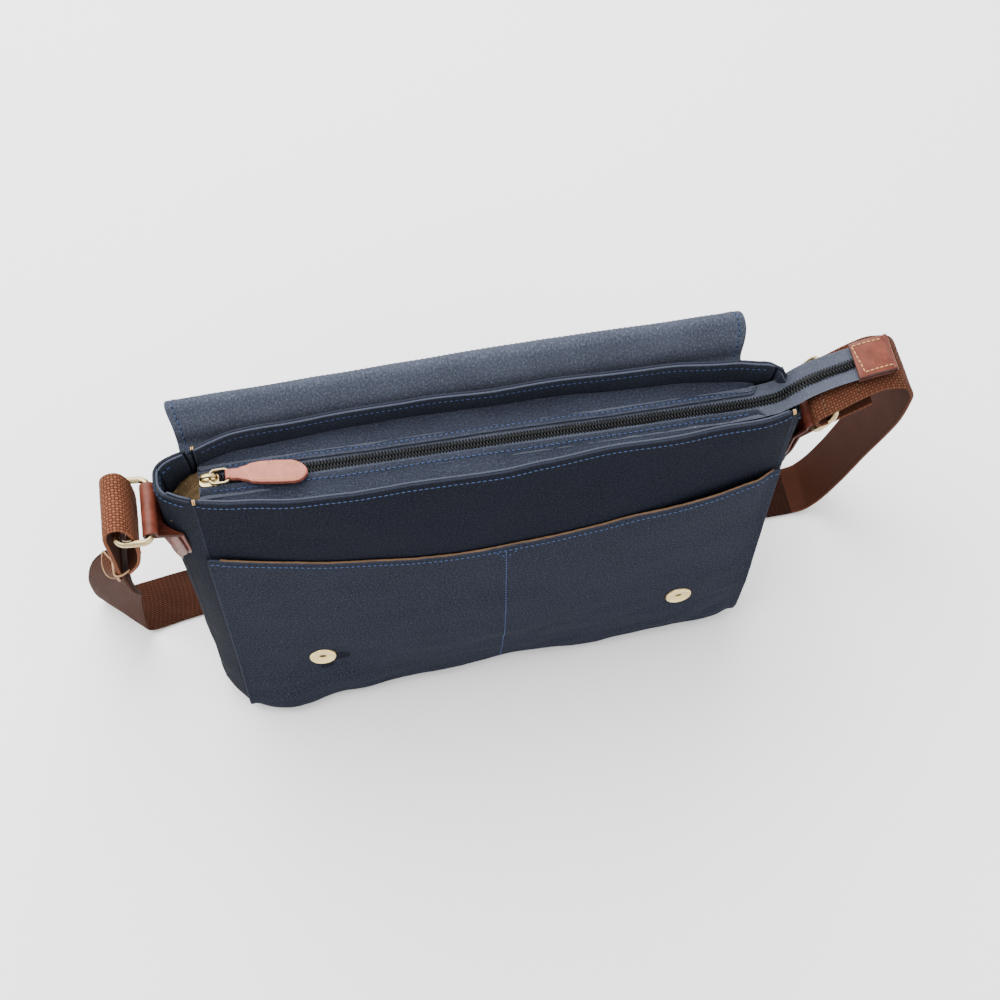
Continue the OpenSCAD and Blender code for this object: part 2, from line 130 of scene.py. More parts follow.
class Piece:
    """Collects the faces of one visible piece. Lengths are in millimetres, and each point
    keeps its place on the flat cloth and an edge mask for the material, where canvas gets wear and a painted
    highlight."""

    def __init__(self):
        self.points, self.faces, self.slots, self.cloth = [], [], [], []

    def point(self, p, u=0.0, v=0.0, edge_mask=0.0):
        self.points.append(tuple(p))
        self.cloth.append((u, v, edge_mask))
        return len(self.points) - 1

    def face(self, corners, slot):
        self.faces.append(tuple(corners))
        self.slots.append(slot)

    def web(self, rows, slot, close_i=False, close_j=False):
        m, n = len(rows), len(rows[0])
        for i in range(m if close_i else m - 1):
            for j in range(n if close_j else n - 1):
                a, b = (i + 1) % m, (j + 1) % n
                self.face((rows[i][j], rows[a][j], rows[a][b], rows[i][b]), slot)

    def sheet(self, rows, thick, slots=(0, 0, 0), cloth=None, hem=(1, 1, 1, 1)):
        """A sheet of cloth around the middle surface rows[i][j], with rounded edges where hem says
        (first row, last row, first column, last column). slots: front, back and edge material."""
        m, n = len(rows), len(rows[0])
        rows = [[Vector(p) for p in r] for r in rows]
        di = [[rows[min(m - 1, i + 1)][j] - rows[max(0, i - 1)][j] for j in range(n)] for i in range(m)]
        dj = [[rows[i][min(n - 1, j + 1)] - rows[i][max(0, j - 1)] for j in range(n)] for i in range(m)]
        up = [[di[i][j].cross(dj[i][j]).normalized() for j in range(n)] for i in range(m)]
        if cloth is None:
            us = [[0.0] * n]
            for i in range(1, m):
                us.append([us[-1][j] + (rows[i][j] - rows[i - 1][j]).length for j in range(n)])
            vs = []
            for i in range(m):
                v = [0.0]
                for j in range(1, n):
                    v.append(v[-1] + (rows[i][j] - rows[i][j - 1]).length)
                vs.append(v)
            cloth = [[(us[i][j], vs[i][j]) for j in range(n)] for i in range(m)]
        h = thick / 2
        front = [[self.point(rows[i][j] + up[i][j] * h, *cloth[i][j]) for j in range(n)] for i in range(m)]
        back = [[self.point(rows[i][j] - up[i][j] * h, *cloth[i][j]) for j in range(n)] for i in range(m)]
        self.web(front, slots[0])
        self.web([r[::-1] for r in back], slots[1])
        rim = [(i, 0) for i in range(m)] + [(m - 1, j) for j in range(1, n)]
        rim += [(i, n - 1) for i in range(m - 2, -1, -1)] + [(0, j) for j in range(n - 2, 0, -1)]
        loops = []
        for k in range(7):
            angle = math.radians(90 - 30 * k)
            loop = []
            for i, j in rim:
                if k == 0:
                    loop.append(front[i][j])
                    continue
                if k == 6:
                    loop.append(back[i][j])
                    continue
                out = Vector()
                if i == 0 and hem[0]:
                    out -= di[i][j].normalized()
                if i == m - 1 and hem[1]:
                    out += di[i][j].normalized()
                if j == 0 and hem[2]:
                    out -= dj[i][j].normalized()
                if j == n - 1 and hem[3]:
                    out += dj[i][j].normalized()
                if out.length:
                    out.normalize()
                p = rows[i][j] + (out * math.cos(angle) + up[i][j] * math.sin(angle)) * h
                u, v = cloth[i][j]
                # the edge mask is 1 on the outermost line of a rolled edge, where canvas gets wear and a
                # painted highlight
                loop.append(self.point(p, u, v + h * math.sin(angle), math.cos(angle) if out.length else 0))
            loops.append(loop)
        count = len(rim)
        sides = [hem[2]] * (m - 1) + [hem[1]] * (n - 1) + [hem[3]] * (m - 1) + [hem[0]] * (n - 1)
        for a, b in zip(loops, loops[1:]):
            for k in range(count):
                if sides[k]:
                    c = (k + 1) % count
                    self.face((a[c], a[k], b[k], b[c]), slots[2])

    def tube(self, path, radius, slot=0, sides=12, closed=False, normal=UP, flat=1.0):
        """Round wire or thread along a path. radius may be a list, and flat squeezes it along normal."""
        path = [Vector(p) for p in path]
        m = len(path)
        radii = radius if isinstance(radius, (list, tuple)) else [radius] * m
        rings, length = [], 0.0
        for i, p in enumerate(path):
            a = path[(i - 1) % m] if closed or i else path[0]
            b = path[(i + 1) % m] if closed or i < m - 1 else path[-1]
            t = (b - a).normalized()
            side = t.cross(normal).normalized()
            top = side.cross(t)
            length += (p - path[i - 1]).length if i else 0
            rings.append([self.point(p + (side * math.cos(w) + top * math.sin(w) * flat) * radii[i],
                                     length, radii[i] * w)
                          for w in (2 * math.pi * k / sides for k in range(sides))])
        self.web(rings, slot, close_i=closed, close_j=True)
        if not closed:
            self.face(rings[0], slot)
            self.face(rings[-1][::-1], slot)

    def stitches(self, path, normals, slot, shade_slot=None, pitch=3.3, length=2.3, r=0.42, lift=0.1):
        """A row of sewing stitches along a path, pressed a little into the cloth."""
        path = [Vector(p) for p in path]
        total = [0.0]
        for a, b in zip(path, path[1:]):
            total.append(total[-1] + (b - a).length)

        def at(s):
            k = 0
            while k < len(total) - 2 and total[k + 1] < s:
                k += 1
            f = (s - total[k]) / max(1e-9, total[k + 1] - total[k])
            normal = Vector(normals[k]).lerp(Vector(normals[k + 1]), f).normalized()
            return path[k].lerp(path[k + 1], f), normal

        count = max(1, int(total[-1] / pitch))
        pitch = total[-1] / count
        for k in range(count):
            mid = (k + 0.5) * pitch
            line = []
            for q in (-0.5, -0.32, 0, 0.32, 0.5):
                p, n = at(mid + q * length)
                line.append(p + n * (lift - 0.5 * r * (2 * abs(q)) ** 3))
            _, n = at(mid)
            self.tube(line, [r * 0.45, r * 0.9, r, r * 0.9, r * 0.45], slot, 6, normal=n, flat=0.8)
            # painted shade: a dark dash where the thread dips into the cloth between stitches
            if shade_slot is not None:
                p, n = at(k * pitch)
                d = (at(k * pitch + 0.3)[0] - at(k * pitch - 0.3)[0]).normalized()
                ends = [p - d * 0.55 + n * 0.05, p + d * 0.55 + n * 0.05]
                self.tube(ends, 0.34, shade_slot, 6, normal=n, flat=0.35)

    def lathe(self, profile, place, slot=0, sides=40):
        """Turns (radius, height) points around the local z of place."""
        rings = []
        for r, z in profile:
            rings.append([self.point(place @ Vector((r * math.cos(w), r * math.sin(w), z)), r * w, z)
                          for w in (2 * math.pi * k / sides for k in range(sides))])
        self.web(rings, slot, close_j=True)

    def make(self, name, materials, body, replaces=()):
        mesh = bpy.data.meshes.new(name)
        mesh.from_pydata([Vector(p) * MM for p in self.points], [], self.faces)
        for m in materials:
            mesh.materials.append(m)
        mesh.polygons.foreach_set("material_index", self.slots)
        mesh.polygons.foreach_set("use_smooth", [True] * len(self.faces))
        layer = mesh.attributes.new("cloth", "FLOAT_VECTOR", "POINT")
        layer.data.foreach_set("vector", [c for v in self.cloth for c in v])
        mesh.validate()
        mesh.update()
        obj = bpy.data.objects.new(name, mesh)
        bpy.context.scene.collection.objects.link(obj)
        if isinstance(body, str):
            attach(obj, body)
        else:
            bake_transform(obj)
        if replaces:
            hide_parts(*replaces)
        return obj


# ---- materials
class Nodes:
    """A material's node tree, with short calls for the nodes that it needs."""

    def __init__(self, name):
        self.mat = bpy.data.materials.new(name)
        self.mat.use_nodes = True
        self.tree = self.mat.node_tree
        self.shader = self.tree.nodes["Principled BSDF"]

    def node(self, kind, inputs=None, **settings):
        n = self.tree.nodes.new(kind)
        for k, v in settings.items():
            setattr(n, k, v)
        for k, v in (inputs or {}).items():
            if hasattr(v, "is_output"):
                self.tree.links.new(v, n.inputs[k])
            else:
                n.inputs[k].default_value = v
        return n

    def math(self, op, a, b=0.0, clamp=False):
        return self.node("ShaderNodeMath", {0: a, 1: b}, operation=op, use_clamp=clamp).outputs[0]

    def add(self, a, b):
        return self.math("ADD", a, b)

    def times(self, a, b, clamp=False):
        return self.math("MULTIPLY", a, b, clamp)

    def cloth(self):
        """Place on the flat cloth in millimetres, and the edge mask."""
        at = self.node("ShaderNodeAttribute", attribute_name="cloth").outputs["Vector"]
        xyz = self.node("ShaderNodeSeparateXYZ", {0: at})
        return xyz.outputs[0], xyz.outputs[1], xyz.outputs[2]

    def flat(self):
        """Cloth coordinates without the edge mask."""
        u, v, _ = self.cloth()
        return self.node("ShaderNodeCombineXYZ", {0: u, 1: v}).outputs[0]

    def noise(self, vector, scale, detail=2.0, rough=0.55):
        return self.node("ShaderNodeTexNoise", {"Vector": vector, "Scale": scale, "Detail": detail,
                                                "Roughness": rough}).outputs["Fac"]

    def ramp(self, fac, *stops):
        r = self.node("ShaderNodeValToRGB", {0: fac})
        e = r.color_ramp.elements
        while len(e) < len(stops):
            e.new(0.5)
        for k, (pos, col) in enumerate(stops):
            e[k].position = pos
            e[k].color = (*col, 1) if not isinstance(col, float) else (col, col, col, 1)
        return r.outputs[0]

    def mix(self, fac, a, b, kind="MIX"):
        m = self.node("ShaderNodeMix", data_type="RGBA", blend_type=kind)
        for key, value in ((0, fac), (6, a), (7, b)):
            if hasattr(value, "is_output"):
                self.tree.links.new(value, m.inputs[key])
            else:
                m.inputs[key].default_value = value if key == 0 else (*value, 1)
        return m.outputs[2]

    def bump(self, height, distance, strength=1.0, under=None):
        n = self.node("ShaderNodeBump", {"Height": height, "Distance": distance * MM, "Strength": strength})
        if under is not None:
            self.tree.links.new(under, n.inputs["Normal"])
        return n.outputs[0]

    def finish(self, color, rough, normal=None, **fixed):
        for key, value in (("Base Color", color), ("Roughness", rough), ("Normal", normal)):
            if value is None:
                continue
            if hasattr(value, "is_output"):
                self.tree.links.new(value, self.shader.inputs[key])
            elif key == "Base Color":
                self.shader.inputs[key].default_value = (*value, 1)
            else:
                self.shader.inputs[key].default_value = value
        for key, value in fixed.items():
            self.shader.inputs[key.replace("_", " ").title().replace("Ior", "IOR")].default_value = value
        return self.mat


def canvas(name, dark, light, pitch=0.62, wear_and_highlight=0.5, speck=0.6):
    """Plain-weave canvas: crossing yarns, uneven dye, pale slubs, and rolled edges lightened by wear and a
    painted highlight.
    """
    n = Nodes(name)
    u, v, edge_mask = n.cloth()
    flat = n.flat()
    wobble = n.times(n.noise(flat, 0.35, 1.0), 1.4)
    a = n.math("SINE", n.times(n.add(u, wobble), math.pi / pitch))
    b = n.math("SINE", n.times(n.add(v, wobble), math.pi / pitch))
    weave = n.times(a, b)
    yarn = n.noise(n.node("ShaderNodeMapping", {0: flat, 3: (0.9, 3.2, 1.0)}).outputs[0], 1.0, 3.0)
    yarn2 = n.noise(n.node("ShaderNodeMapping", {0: flat, 3: (3.2, 0.9, 1.0)}).outputs[0], 1.0, 3.0)
    grain = n.add(n.times(weave, 0.22),
                   n.add(n.times(yarn, 0.5), n.times(yarn2, 0.5)))
    cloud = n.noise(flat, 0.022, 4.0, 0.6)
    tone = n.add(n.times(grain, 0.55), n.times(cloud, 0.5))
    color = n.ramp(tone, (0.3, dark), (0.82, light))
    pale = tuple(min(1.0, c * 2.6 + 0.008) for c in light)
    fleck = n.ramp(n.noise(flat, 0.8, 3.0, 0.8), (0.46, 0.0), (0.64, 1.0))
    color = n.mix(n.times(fleck, speck), color, tuple(c * 2.3 for c in light))
    pit = n.ramp(n.noise(flat, 1.0, 2.0, 0.8), (0.36, 1.0), (0.5, 0.0))
    color = n.mix(n.times(pit, speck * 0.7), color, tuple(c * 0.5 for c in dark))
    slub = n.ramp(n.noise(flat, 0.9, 0.0), (0.72, 0.0), (0.8, 1.0))
    color = n.mix(n.times(slub, 0.4), color, pale)
    # wear and painted highlight: rolled edges are mixed towards pale, for rubbed cloth and for light catching
    # the edge
    uneven = n.add(n.times(grain, 1.1), 0.05)
    rub_and_highlight = n.times(n.math("POWER", edge_mask, 1.2), uneven, clamp=True)
    color = n.mix(n.times(rub_and_highlight, wear_and_highlight, clamp=True), color, pale)
    soft = n.bump(n.noise(flat, 0.06, 2.0), 0.8, 0.5)
    normal = n.bump(grain, 0.22, 0.9, soft)
    rough = n.ramp(cloud, (0.3, 0.78), (0.7, 0.92))
    return n.finish(color, rough, normal, specular_ior_level=0.05)


def webbing(name, dark, light, pitch=1.75, depth=0.34, ribs=False, shade=None):
    """Heavy webbing: a basket weave of plump yarns, or the smooth ribbed back of it."""
    n = Nodes(name)
    u, v, edge_mask = n.cloth()
    flat = n.flat()
    a = n.math("DIVIDE", u, pitch * (0.55 if ribs else 1.0))
    b = n.math("DIVIDE", v, pitch)
    if ribs:
        a = n.add(a, n.times(b, 0.9))
    check = n.math("MODULO", n.math("ABSOLUTE", n.add(n.math("FLOOR", a), n.math("FLOOR", b))), 2.0)
    hump_a = n.math("SINE", n.times(n.math("FRACT", a), math.pi))
    hump_b = n.math("SINE", n.times(n.math("FRACT", b), math.pi))
    over = n.times(n.math("POWER", hump_b, 0.6), n.math("POWER", hump_a, 0.25))
    under = n.times(n.math("POWER", hump_a, 0.6), n.math("POWER", hump_b, 0.25))
    if ribs:
        height = hump_a
    else:
        height = n.add(n.times(over, check),
                        n.times(under, n.times(n.math("SUBTRACT", 1.0, check), 0.72)))
    fibre = n.noise(n.node("ShaderNodeMapping", {0: flat, 3: (0.8, 5.0, 1.0)}).outputs[0], 1.0, 3.0)
    cloud = n.noise(flat, 0.05, 3.0)
    tone = n.add(n.times(height, 0.55),
                  n.add(n.times(fibre, 0.35), n.times(cloud, 0.25)))
    color = n.ramp(tone, (0.12, tuple(c * 0.42 for c in dark)), (0.5, dark), (0.95, light))
    color = n.mix(n.times(edge_mask, 0.25), color, light)
    # painted shade: the webbing darkens from shade[0] to shade[1] mm along its length, where the strap lies
    # on the floor in the bag's shadow
    if shade:
        along = n.math("DIVIDE", n.math("SUBTRACT", u, shade[0]), shade[1] - shade[0], clamp=True)
        color = n.mix(n.times(along, 0.62), color, tuple(c * 0.4 for c in dark))
    normal = n.bump(fibre, 0.16, 0.6, n.bump(height, depth, 1.0))
    return n.finish(color, 0.82, normal, specular_ior_level=0.08)


def leather(name, dark, light, edge, rough=0.42, grain=1.0):
    """Full-grain leather: fine pebbling, pores, a mottled dye and an edge of its own colour."""
    n = Nodes(name)
    _, _, edge_mask = n.cloth()
    flat = n.flat()
    cells = n.node("ShaderNodeTexVoronoi", {"Vector": flat, "Scale": 0.95 * grain, "Randomness": 1.0},
                   feature="F1").outputs["Distance"]
    fine = n.noise(flat, 2.4, 4.0, 0.65)
    cloud = n.noise(flat, 0.12, 4.0, 0.6)
    color = n.ramp(n.add(n.times(cloud, 0.75), n.times(fine, 0.3)),
                   (0.3, dark), (0.72, light))
    color = n.mix(n.times(n.math("POWER", edge_mask, 1.5), 0.85), color, edge)
    height = n.add(n.times(cells, 0.5), n.times(fine, 0.5))
    normal = n.bump(height, 0.16, 0.55, n.bump(cloud, 0.5, 0.4))
    gloss = n.ramp(fine, (0.3, rough - 0.08), (0.75, rough + 0.16))
    return n.finish(color, gloss, normal, coat_weight=0.03, coat_roughness=0.35, specular_ior_level=0.22)


def thread(name, dark, light):
    """Twisted sewing thread."""
    n = Nodes(name)
    u, v, _ = n.cloth()
    twist = n.math("SINE", n.times(n.add(u, n.times(v, 0.8)), 6.0))
    color = n.ramp(n.add(n.times(twist, 0.3), n.noise(n.flat(), 0.4)), (0.2, dark), (0.75, light))
    return n.finish(color, 0.6, n.bump(twist, 0.06, 0.5), specular_ior_level=0.15)


def metal(name, color, deep, rough, tarnish=0.4):
    """Plated metal with faint tarnish, fine scratches and softened polish."""
    n = Nodes(name)
    at = n.node("ShaderNodeTexCoord").outputs["Object"]
    patch = n.noise(at, 240.0, 5.0, 0.7)
    hair = n.noise(n.node("ShaderNodeMapping", {0: at, 3: (300.0, 5200.0, 5200.0)}).outputs[0], 1.0, 2.0)
    shade = n.ramp(patch, (0.34, 1.0), (0.62, 0.0))
    col = n.mix(n.times(shade, tarnish), color, deep)
    gloss = n.ramp(n.add(n.times(patch, 0.6), n.times(hair, 0.4)),
                   (0.3, rough), (0.8, rough + 0.18))
    return n.finish(col, gloss, n.bump(hair, 0.01, 0.4), metallic=1.0)


def plain(name, color, rough, scale=500.0, spread=0.3, **fixed):
    """Moulded plastic or a studio floor: a faint mottle in colour and polish."""
    n = Nodes(name)
    at = n.node("ShaderNodeTexCoord").outputs["Object"]
    f = n.noise(at, scale, 3.0)
    col = n.ramp(f, (0.3, tuple(c * (1 - spread) for c in color)), (0.7, color))
    return n.finish(col, n.ramp(f, (0.3, rough), (0.7, min(1.0, rough + 0.1))), None, **fixed)


OUTER = canvas("canvas_outer", (0.0024, 0.0029, 0.0049), (0.0092, 0.0106, 0.017), wear_and_highlight=0.8)
# painted light: a lighter copy of the outer canvas for the pocket, which catches more light than the wall
# around it
POCKET = canvas("canvas_pocket_lit", (0.0056, 0.0067, 0.0107), (0.0185, 0.0214, 0.033), wear_and_highlight=0.8)
INNER = canvas("canvas_inner", (0.022, 0.0255, 0.037), (0.064, 0.072, 0.097), wear_and_highlight=0.6, speck=0.35)
FACING = canvas("canvas_facing", (0.009, 0.0105, 0.016), (0.027, 0.031, 0.044), wear_and_highlight=0.9, speck=0.4)
SHELF = canvas("canvas_shelf", (0.0105, 0.0124, 0.0195), (0.035, 0.04, 0.058), speck=0.35)
GUSSET = canvas("canvas_gusset", (0.0038, 0.0045, 0.0068), (0.012, 0.0138, 0.02))
TAPE = canvas("zip_tape_cloth", (0.03, 0.034, 0.047), (0.08, 0.088, 0.113), pitch=0.42, speck=0.12)
LINING = canvas("lining_cotton", (0.045, 0.026, 0.012), (0.17, 0.115, 0.06), pitch=0.4, wear_and_highlight=0.1, speck=0.12)
# painted light and shade: this and the next two webbings are lighter and darker copies of one webbing; this
# lightest one is for the lit left loop
WEB = webbing("webbing_basket_lit", (0.06, 0.018, 0.008), (0.27, 0.105, 0.056))
# painted shade: a darker copy of the same webbing for the right strap, on the side away from the key light
WEB_END_SHADED = webbing("webbing_end_shaded", (0.034, 0.0105, 0.005), (0.135, 0.05, 0.027))
# painted shade: a darker copy of the webbing for the left fall and the floor strap, which lie in shade
WEB_FALL_SHADED = webbing("webbing_shaded", (0.02, 0.006, 0.003), (0.085, 0.031, 0.017), shade=(245, 285))
WEB_BACK = webbing("webbing_back", (0.028, 0.0085, 0.0042), (0.075, 0.026, 0.0145),
                   pitch=1.5, depth=0.18, ribs=True)
COGNAC = leather("leather_cognac", (0.06, 0.012, 0.006), (0.17, 0.043, 0.025), (0.02, 0.008, 0.006))
PALE = leather("leather_pull", (0.27, 0.08, 0.052), (0.46, 0.165, 0.118), (0.15, 0.04, 0.025), rough=0.42)
RAW = leather("raw_edge", (0.2, 0.1, 0.045), (0.4, 0.24, 0.13), (0.4, 0.24, 0.13), rough=0.75)
SUEDE = leather("suede_edge", (0.05, 0.026, 0.012), (0.14, 0.078, 0.038), (0.14, 0.08, 0.04), rough=0.7)
BLUE = thread("thread_blue", (0.018, 0.036, 0.1), (0.06, 0.1, 0.215))
CREAM = thread("thread_cream", (0.36, 0.19, 0.06), (0.72, 0.47, 0.21))
# painted shade: near-black for the dips between stitches
STITCH_SHADE = thread("thread_shadow", (0.001, 0.0012, 0.002), (0.004, 0.0045, 0.006))
BRASS = metal("antique_brass", (0.5, 0.39, 0.21), (0.24, 0.17, 0.08), 0.2, 0.3)
GOLD = metal("pale_gold", (0.8, 0.62, 0.28), (0.58, 0.42, 0.17), 0.26, 0.12)
# painted shade: a dark disc stands for the shaded inside of each snap socket's hole
HOLE_SHADE = metal("magnet_hole_shade", (0.1, 0.085, 0.06), (0.05, 0.04, 0.03), 0.45)
STEEL = metal("steel_plate", (0.6, 0.6, 0.6), (0.35, 0.34, 0.33), 0.3)
COIL = plain("zip_coil", (0.003, 0.0034, 0.0045), 0.36, specular_ior_level=0.22)


# ---- the soft body
HALF = box("front_panel")[1].x + 0.8
HIGH = box("front_panel")[1].z + 1
DEEP = 39.0
RIM_DEEP = 18.5
CANVAS = 2.0
SNAPS = [sum(box(n), Vector()) / 2 for n in ("snap_socket_left", "snap_socket_right")]


def half_d(t):
    return DEEP + (RIM_DEEP - DEEP) * t


def belly(t):
    return 4 + 24 * t - 17.5 * t * t


def toe(z, r=14.0, depth=9.0):
    return depth * (1 - z / r) ** 2 if z < r else 0.0


def lean(z):
    """The whole bag sways a little to the right towards its rim."""
    return -5 + 7.5 * z / HIGH


# how far the rim and the front's foot stand off a plain curve, as (x, millimetres outwards)
FRONT_RIM = [(-178, -2.9), (-145, 1.0), (-115, 2.3), (-85, 1.6), (-47, -0.6), (1, 0.2), (28, -1.4),
             (65, -2.6), (121, 0.3), (159, 3.6), (179, 2.0)]
BACK_RIM = [(-178, 0.2), (-144, 6.0), (-100, 3.5), (-38, 2.0), (12, -0.5), (76, -0.2), (114, 1.0),
            (150, -0.5), (168, -2.5), (179, -7.0)]
FRONT_FOOT = [(-176, 5.0), (-150, 9.5), (-112, 3.0), (-48, -2.0), (1, -5.0), (94, -4.0), (144, -3.5),
              (175, -5.0)]


def soft(x, z, seed, size=1.0):
    """Slow waves of canvas that has been folded and filled, more near the floor."""
    low = 1 - ease(20, 120, z)
    a = fbm(x * 0.011, z * 0.016, seed) * 1.5
    b = fbm(x * 0.02 + z * 0.02, z * 0.07 - x * 0.006, seed + 7) * 1.3 * low
    return size * (a + b)


def fold(x, z, x0, z0, length, width, angle, height):
    """One soft crease that fades out at both ends."""
    c, s = math.cos(math.radians(angle)), math.sin(math.radians(angle))
    u, v = (x - x0) * c + (z - z0) * s, (z - z0) * c - (x - x0) * s
    return height * math.exp(-(u / length) ** 2) * math.exp(-(v / width) ** 2)


# soft creases in the front wall, as the values that fold() takes after x and z
FOLDS = [(-140, 26, 34, 5, 10, 1.6), (-120, 36, 40, 6, 14, -1.3), (-150, 12, 30, 5, -4, 1.4),
         (-105, 14, 26, 5, 5, -1.2), (135, 60, 40, 7, 52, 1.1), (150, 78, 34, 6, 58, -1.0),
         (128, 30, 34, 8, 34, 1.2), (152, 28, 20, 5, 40, -1.3), (60, 18, 50, 8, 3, 0.7),
         (-30, 20, 50, 8, -2, -0.7)]


def face(side, x, z):
    """y of the outer face of the front (side -1) or back (side 1) wall."""
    t = z / HIGH
    u = x - lean(z)
    y = half_d(t) - toe(z) + belly(t) * (1 - min(1.15, abs(u) / HALF) ** 2)
    y -= 4.5 * ease(HALF - 16, HALF, abs(u)) * (1 - ease(0, 24, z))
    inner = 1 - ease(150, 176, abs(u))
    y += soft(u, z, 3.1 + side) * (0.35 + 0.65 * inner)
    top = ease(0.72, 1.0, t)
    if side < 0:
        y += table(FRONT_RIM, x) * top + table(FRONT_FOOT, x) * (1 - ease(0.0, 0.3, t))
        y += sum(fold(u, z, *f) for f in FOLDS)
    else:
        y += table(BACK_RIM, x) * top
    return side * y


BOW = {-1: (17.0, 20.0), 1: (9.0, 11.0)}
DIP = {-1: 2.0, 1: 24.0}


def gusset(side, u, z, inset=0.0):
    """A point of a gusset's outer face: u runs from -1 at the front seam to 1 at the back seam."""
    t = z / HIGH
    ends = [abs(face(s, side * (HALF - 1.5) + lean(z), z)) for s in (-1, 1)]
    y = -ends[0] + (ends[0] + ends[1]) * (u + 1) / 2
    power = 2 + (3.2 * t ** 4 if side < 0 and u > 0 else 0)
    bow = BOW[side][0] + (BOW[side][1] - BOW[side][0]) * t
    x = HALF - toe(z) + bow * (1 - abs(u) ** power) - inset
    x += soft(y * 2.2, z, 11.0 + side, 0.9) * (1 - u * u)
    z -= DIP[side] * (1 - u * u) * max(0.0, (t - 0.6) / 0.4) ** 2
    shrink = 1 - inset / max(10.0, abs(y) + 1) if abs(u) > 0.5 else 1
    return Vector((side * x + lean(z), y * shrink, z))


def wall(side, inset, z0, z1, half, nx=120, nz=64, extra=None):
    """Middle surface of a sheet inset below the front or back wall's outer face."""
    rows = []
    for x in steps(-half * -side, half * -side, nx):
        rows.append([])
        for z in steps(z0, z1, nz):
            wx = x + lean(z)
            y = face(side, wx, z) - side * (inset - (extra(x, z) if extra else 0))
            rows[-1].append(Vector((wx, y, z)))
    return rows


def outward(side, x, z):
    a, b = face(side, x - 2, z), face(side, x + 2, z)
    c, d = face(side, x, z - 2), face(side, x, min(HIGH, z + 2))
    return Vector((-(b - a) / 4, 1, -(d - c) / 4)).normalized() * side


def seam_dip(x, z, half, width=7.0, depth=1.4):
    """Cloth rolls in towards the seams at its two sides."""
    return -depth * (1 - ease(0, width, half - abs(x))) ** 2


TOP = HIGH - 2
for side, name in ((-1, "front_panel"), (1, "back_panel")):
    p = Piece()
    half = HALF - 0.9
    p.sheet(wall(side, CANVAS / 2, 2.6, TOP, half, extra=lambda x, z: seam_dip(x, z, half)), CANVAS)
    xs = steps(-half + 1.5, half - 1.5, 110)
    z = HIGH - 5.4
    p.stitches([(x + lean(z), face(side, x + lean(z), z) + side * seam_dip(x, z, half), z) for x in xs],
               [outward(side, x, z) for x in xs], 1, 2)
    p.make(name, [OUTER, BLUE, STITCH_SHADE], "bag", [name])

for side, name in ((-1, "gusset_left"), (1, "gusset_right")):
    p = Piece()
    us = steps(-0.98, 0.985, 34)
    zs = steps(2.6, TOP, 60)
    rows = [[gusset(side, u * -side * -1, z, CANVAS / 2) for z in zs] for u in (us if side > 0 else us[::-1])]
    p.sheet(rows, CANVAS)
    run = steps(-0.9, 0.9, 20)
    z = HIGH - 5.4
    p.stitches([gusset(side, u, z, -0.1) for u in run],
               [(gusset(side, u, z, -1) - gusset(side, u, z, 0)).normalized() for u in run], 1, 2)
    p.make(name, [GUSSET, BLUE, STITCH_SHADE], "bag", [name])

# facings: a second layer inside the rim, so the rim shows two rolled edges side by side
low = HIGH - 42
for side, name in ((-1, "front_facing"), (1, "back_facing")):
    p = Piece()
    half = HALF - 5
    rows = wall(side, 3.3, low, TOP + 0.3, half, 110, 14, extra=lambda x, z: 0.7 * ease(TOP - 8, TOP, z))
    p.sheet([r[::-1] for r in rows], 1.5)
    xs = steps(-half + 3, half - 3, 110)
    z = HIGH - 6
    p.stitches([(x + lean(z), face(side, x + lean(z), z) - side * 3.55, z) for x in xs],
               [outward(side, x, z) * -1 for x in xs], 1, 2)
    p.make(name, [FACING, BLUE, STITCH_SHADE], "bag", [name])
for side, name in ((-1, "gusset_facing_left"), (1, "gusset_facing_right")):
    p = Piece()
    us = steps(-0.93, 0.95, 28)
    rows = [[gusset(side, u, z, 3.2 - 0.6 * ease(TOP - 8, TOP, z)) for z in steps(low - 12, TOP + 0.3, 20)]
            for u in (us if side < 0 else us[::-1])]
    p.sheet(rows, 1.5)
    run = steps(-0.8, 0.8, 20)
    p.stitches([gusset(side, u, HIGH - 6, 3.6) for u in run],
               [(gusset(side, u, HIGH - 6, 9) - gusset(side, u, HIGH - 6, 3)).normalized() for u in run],
               1, 2)
    p.make(name, [FACING, BLUE, STITCH_SHADE], "bag", [name])

# cotton lining, a loose pouch inside
for side, name in ((-1, "front_lining"), (1, "back_lining")):
    p = Piece()
    rows = wall(side, 4.0, 6, HIGH - 38, HALF - 6, 80, 40,
                extra=lambda x, z: -1.6 * abs(fbm(x * 0.03, z * 0.04, 5.0)))
    p.sheet([r[::-1] for r in rows], 0.8)
    p.make(name, [LINING], "bag", [name])
for side, name in ((-1, "gusset_lining_left"), (1, "gusset_lining_right")):
    p = Piece()
    us = steps(-0.84, 0.84, 24)
    rows = [[gusset(side, u, z, 4.6 + 1.8 * abs(fbm(u * 2, z * 0.05, 9.0))) for z in steps(6, HIGH - 50, 40)]
            for u in (us if side < 0 else us[::-1])]
    p.sheet(rows, 0.8)
    p.make(name, [LINING], "bag", [name])


def floor_rows(inset, z, nx=60, ny=16, wave=0.0):
    """Rows across the base, filling the outline that the four walls leave at the floor."""
    rows = []
    for a in steps(-1, 1, nx):
        rows.append([])
        for q in steps(-1, 1, ny):
            end = abs(gusset(1 if a > 0 else -1, q * 0.96, 1.5).x - lean(1.5)) - inset
            wall_x = a * (HALF - 2) + lean(1.5)
            y = face(1 if q > 0 else -1, wall_x, 1.5) * abs(q) - inset * q
            rows[-1].append(Vector((a * end + lean(1.5), y, z + wave * fbm(a * 5, y * 0.05, 2.0))))
    return rows


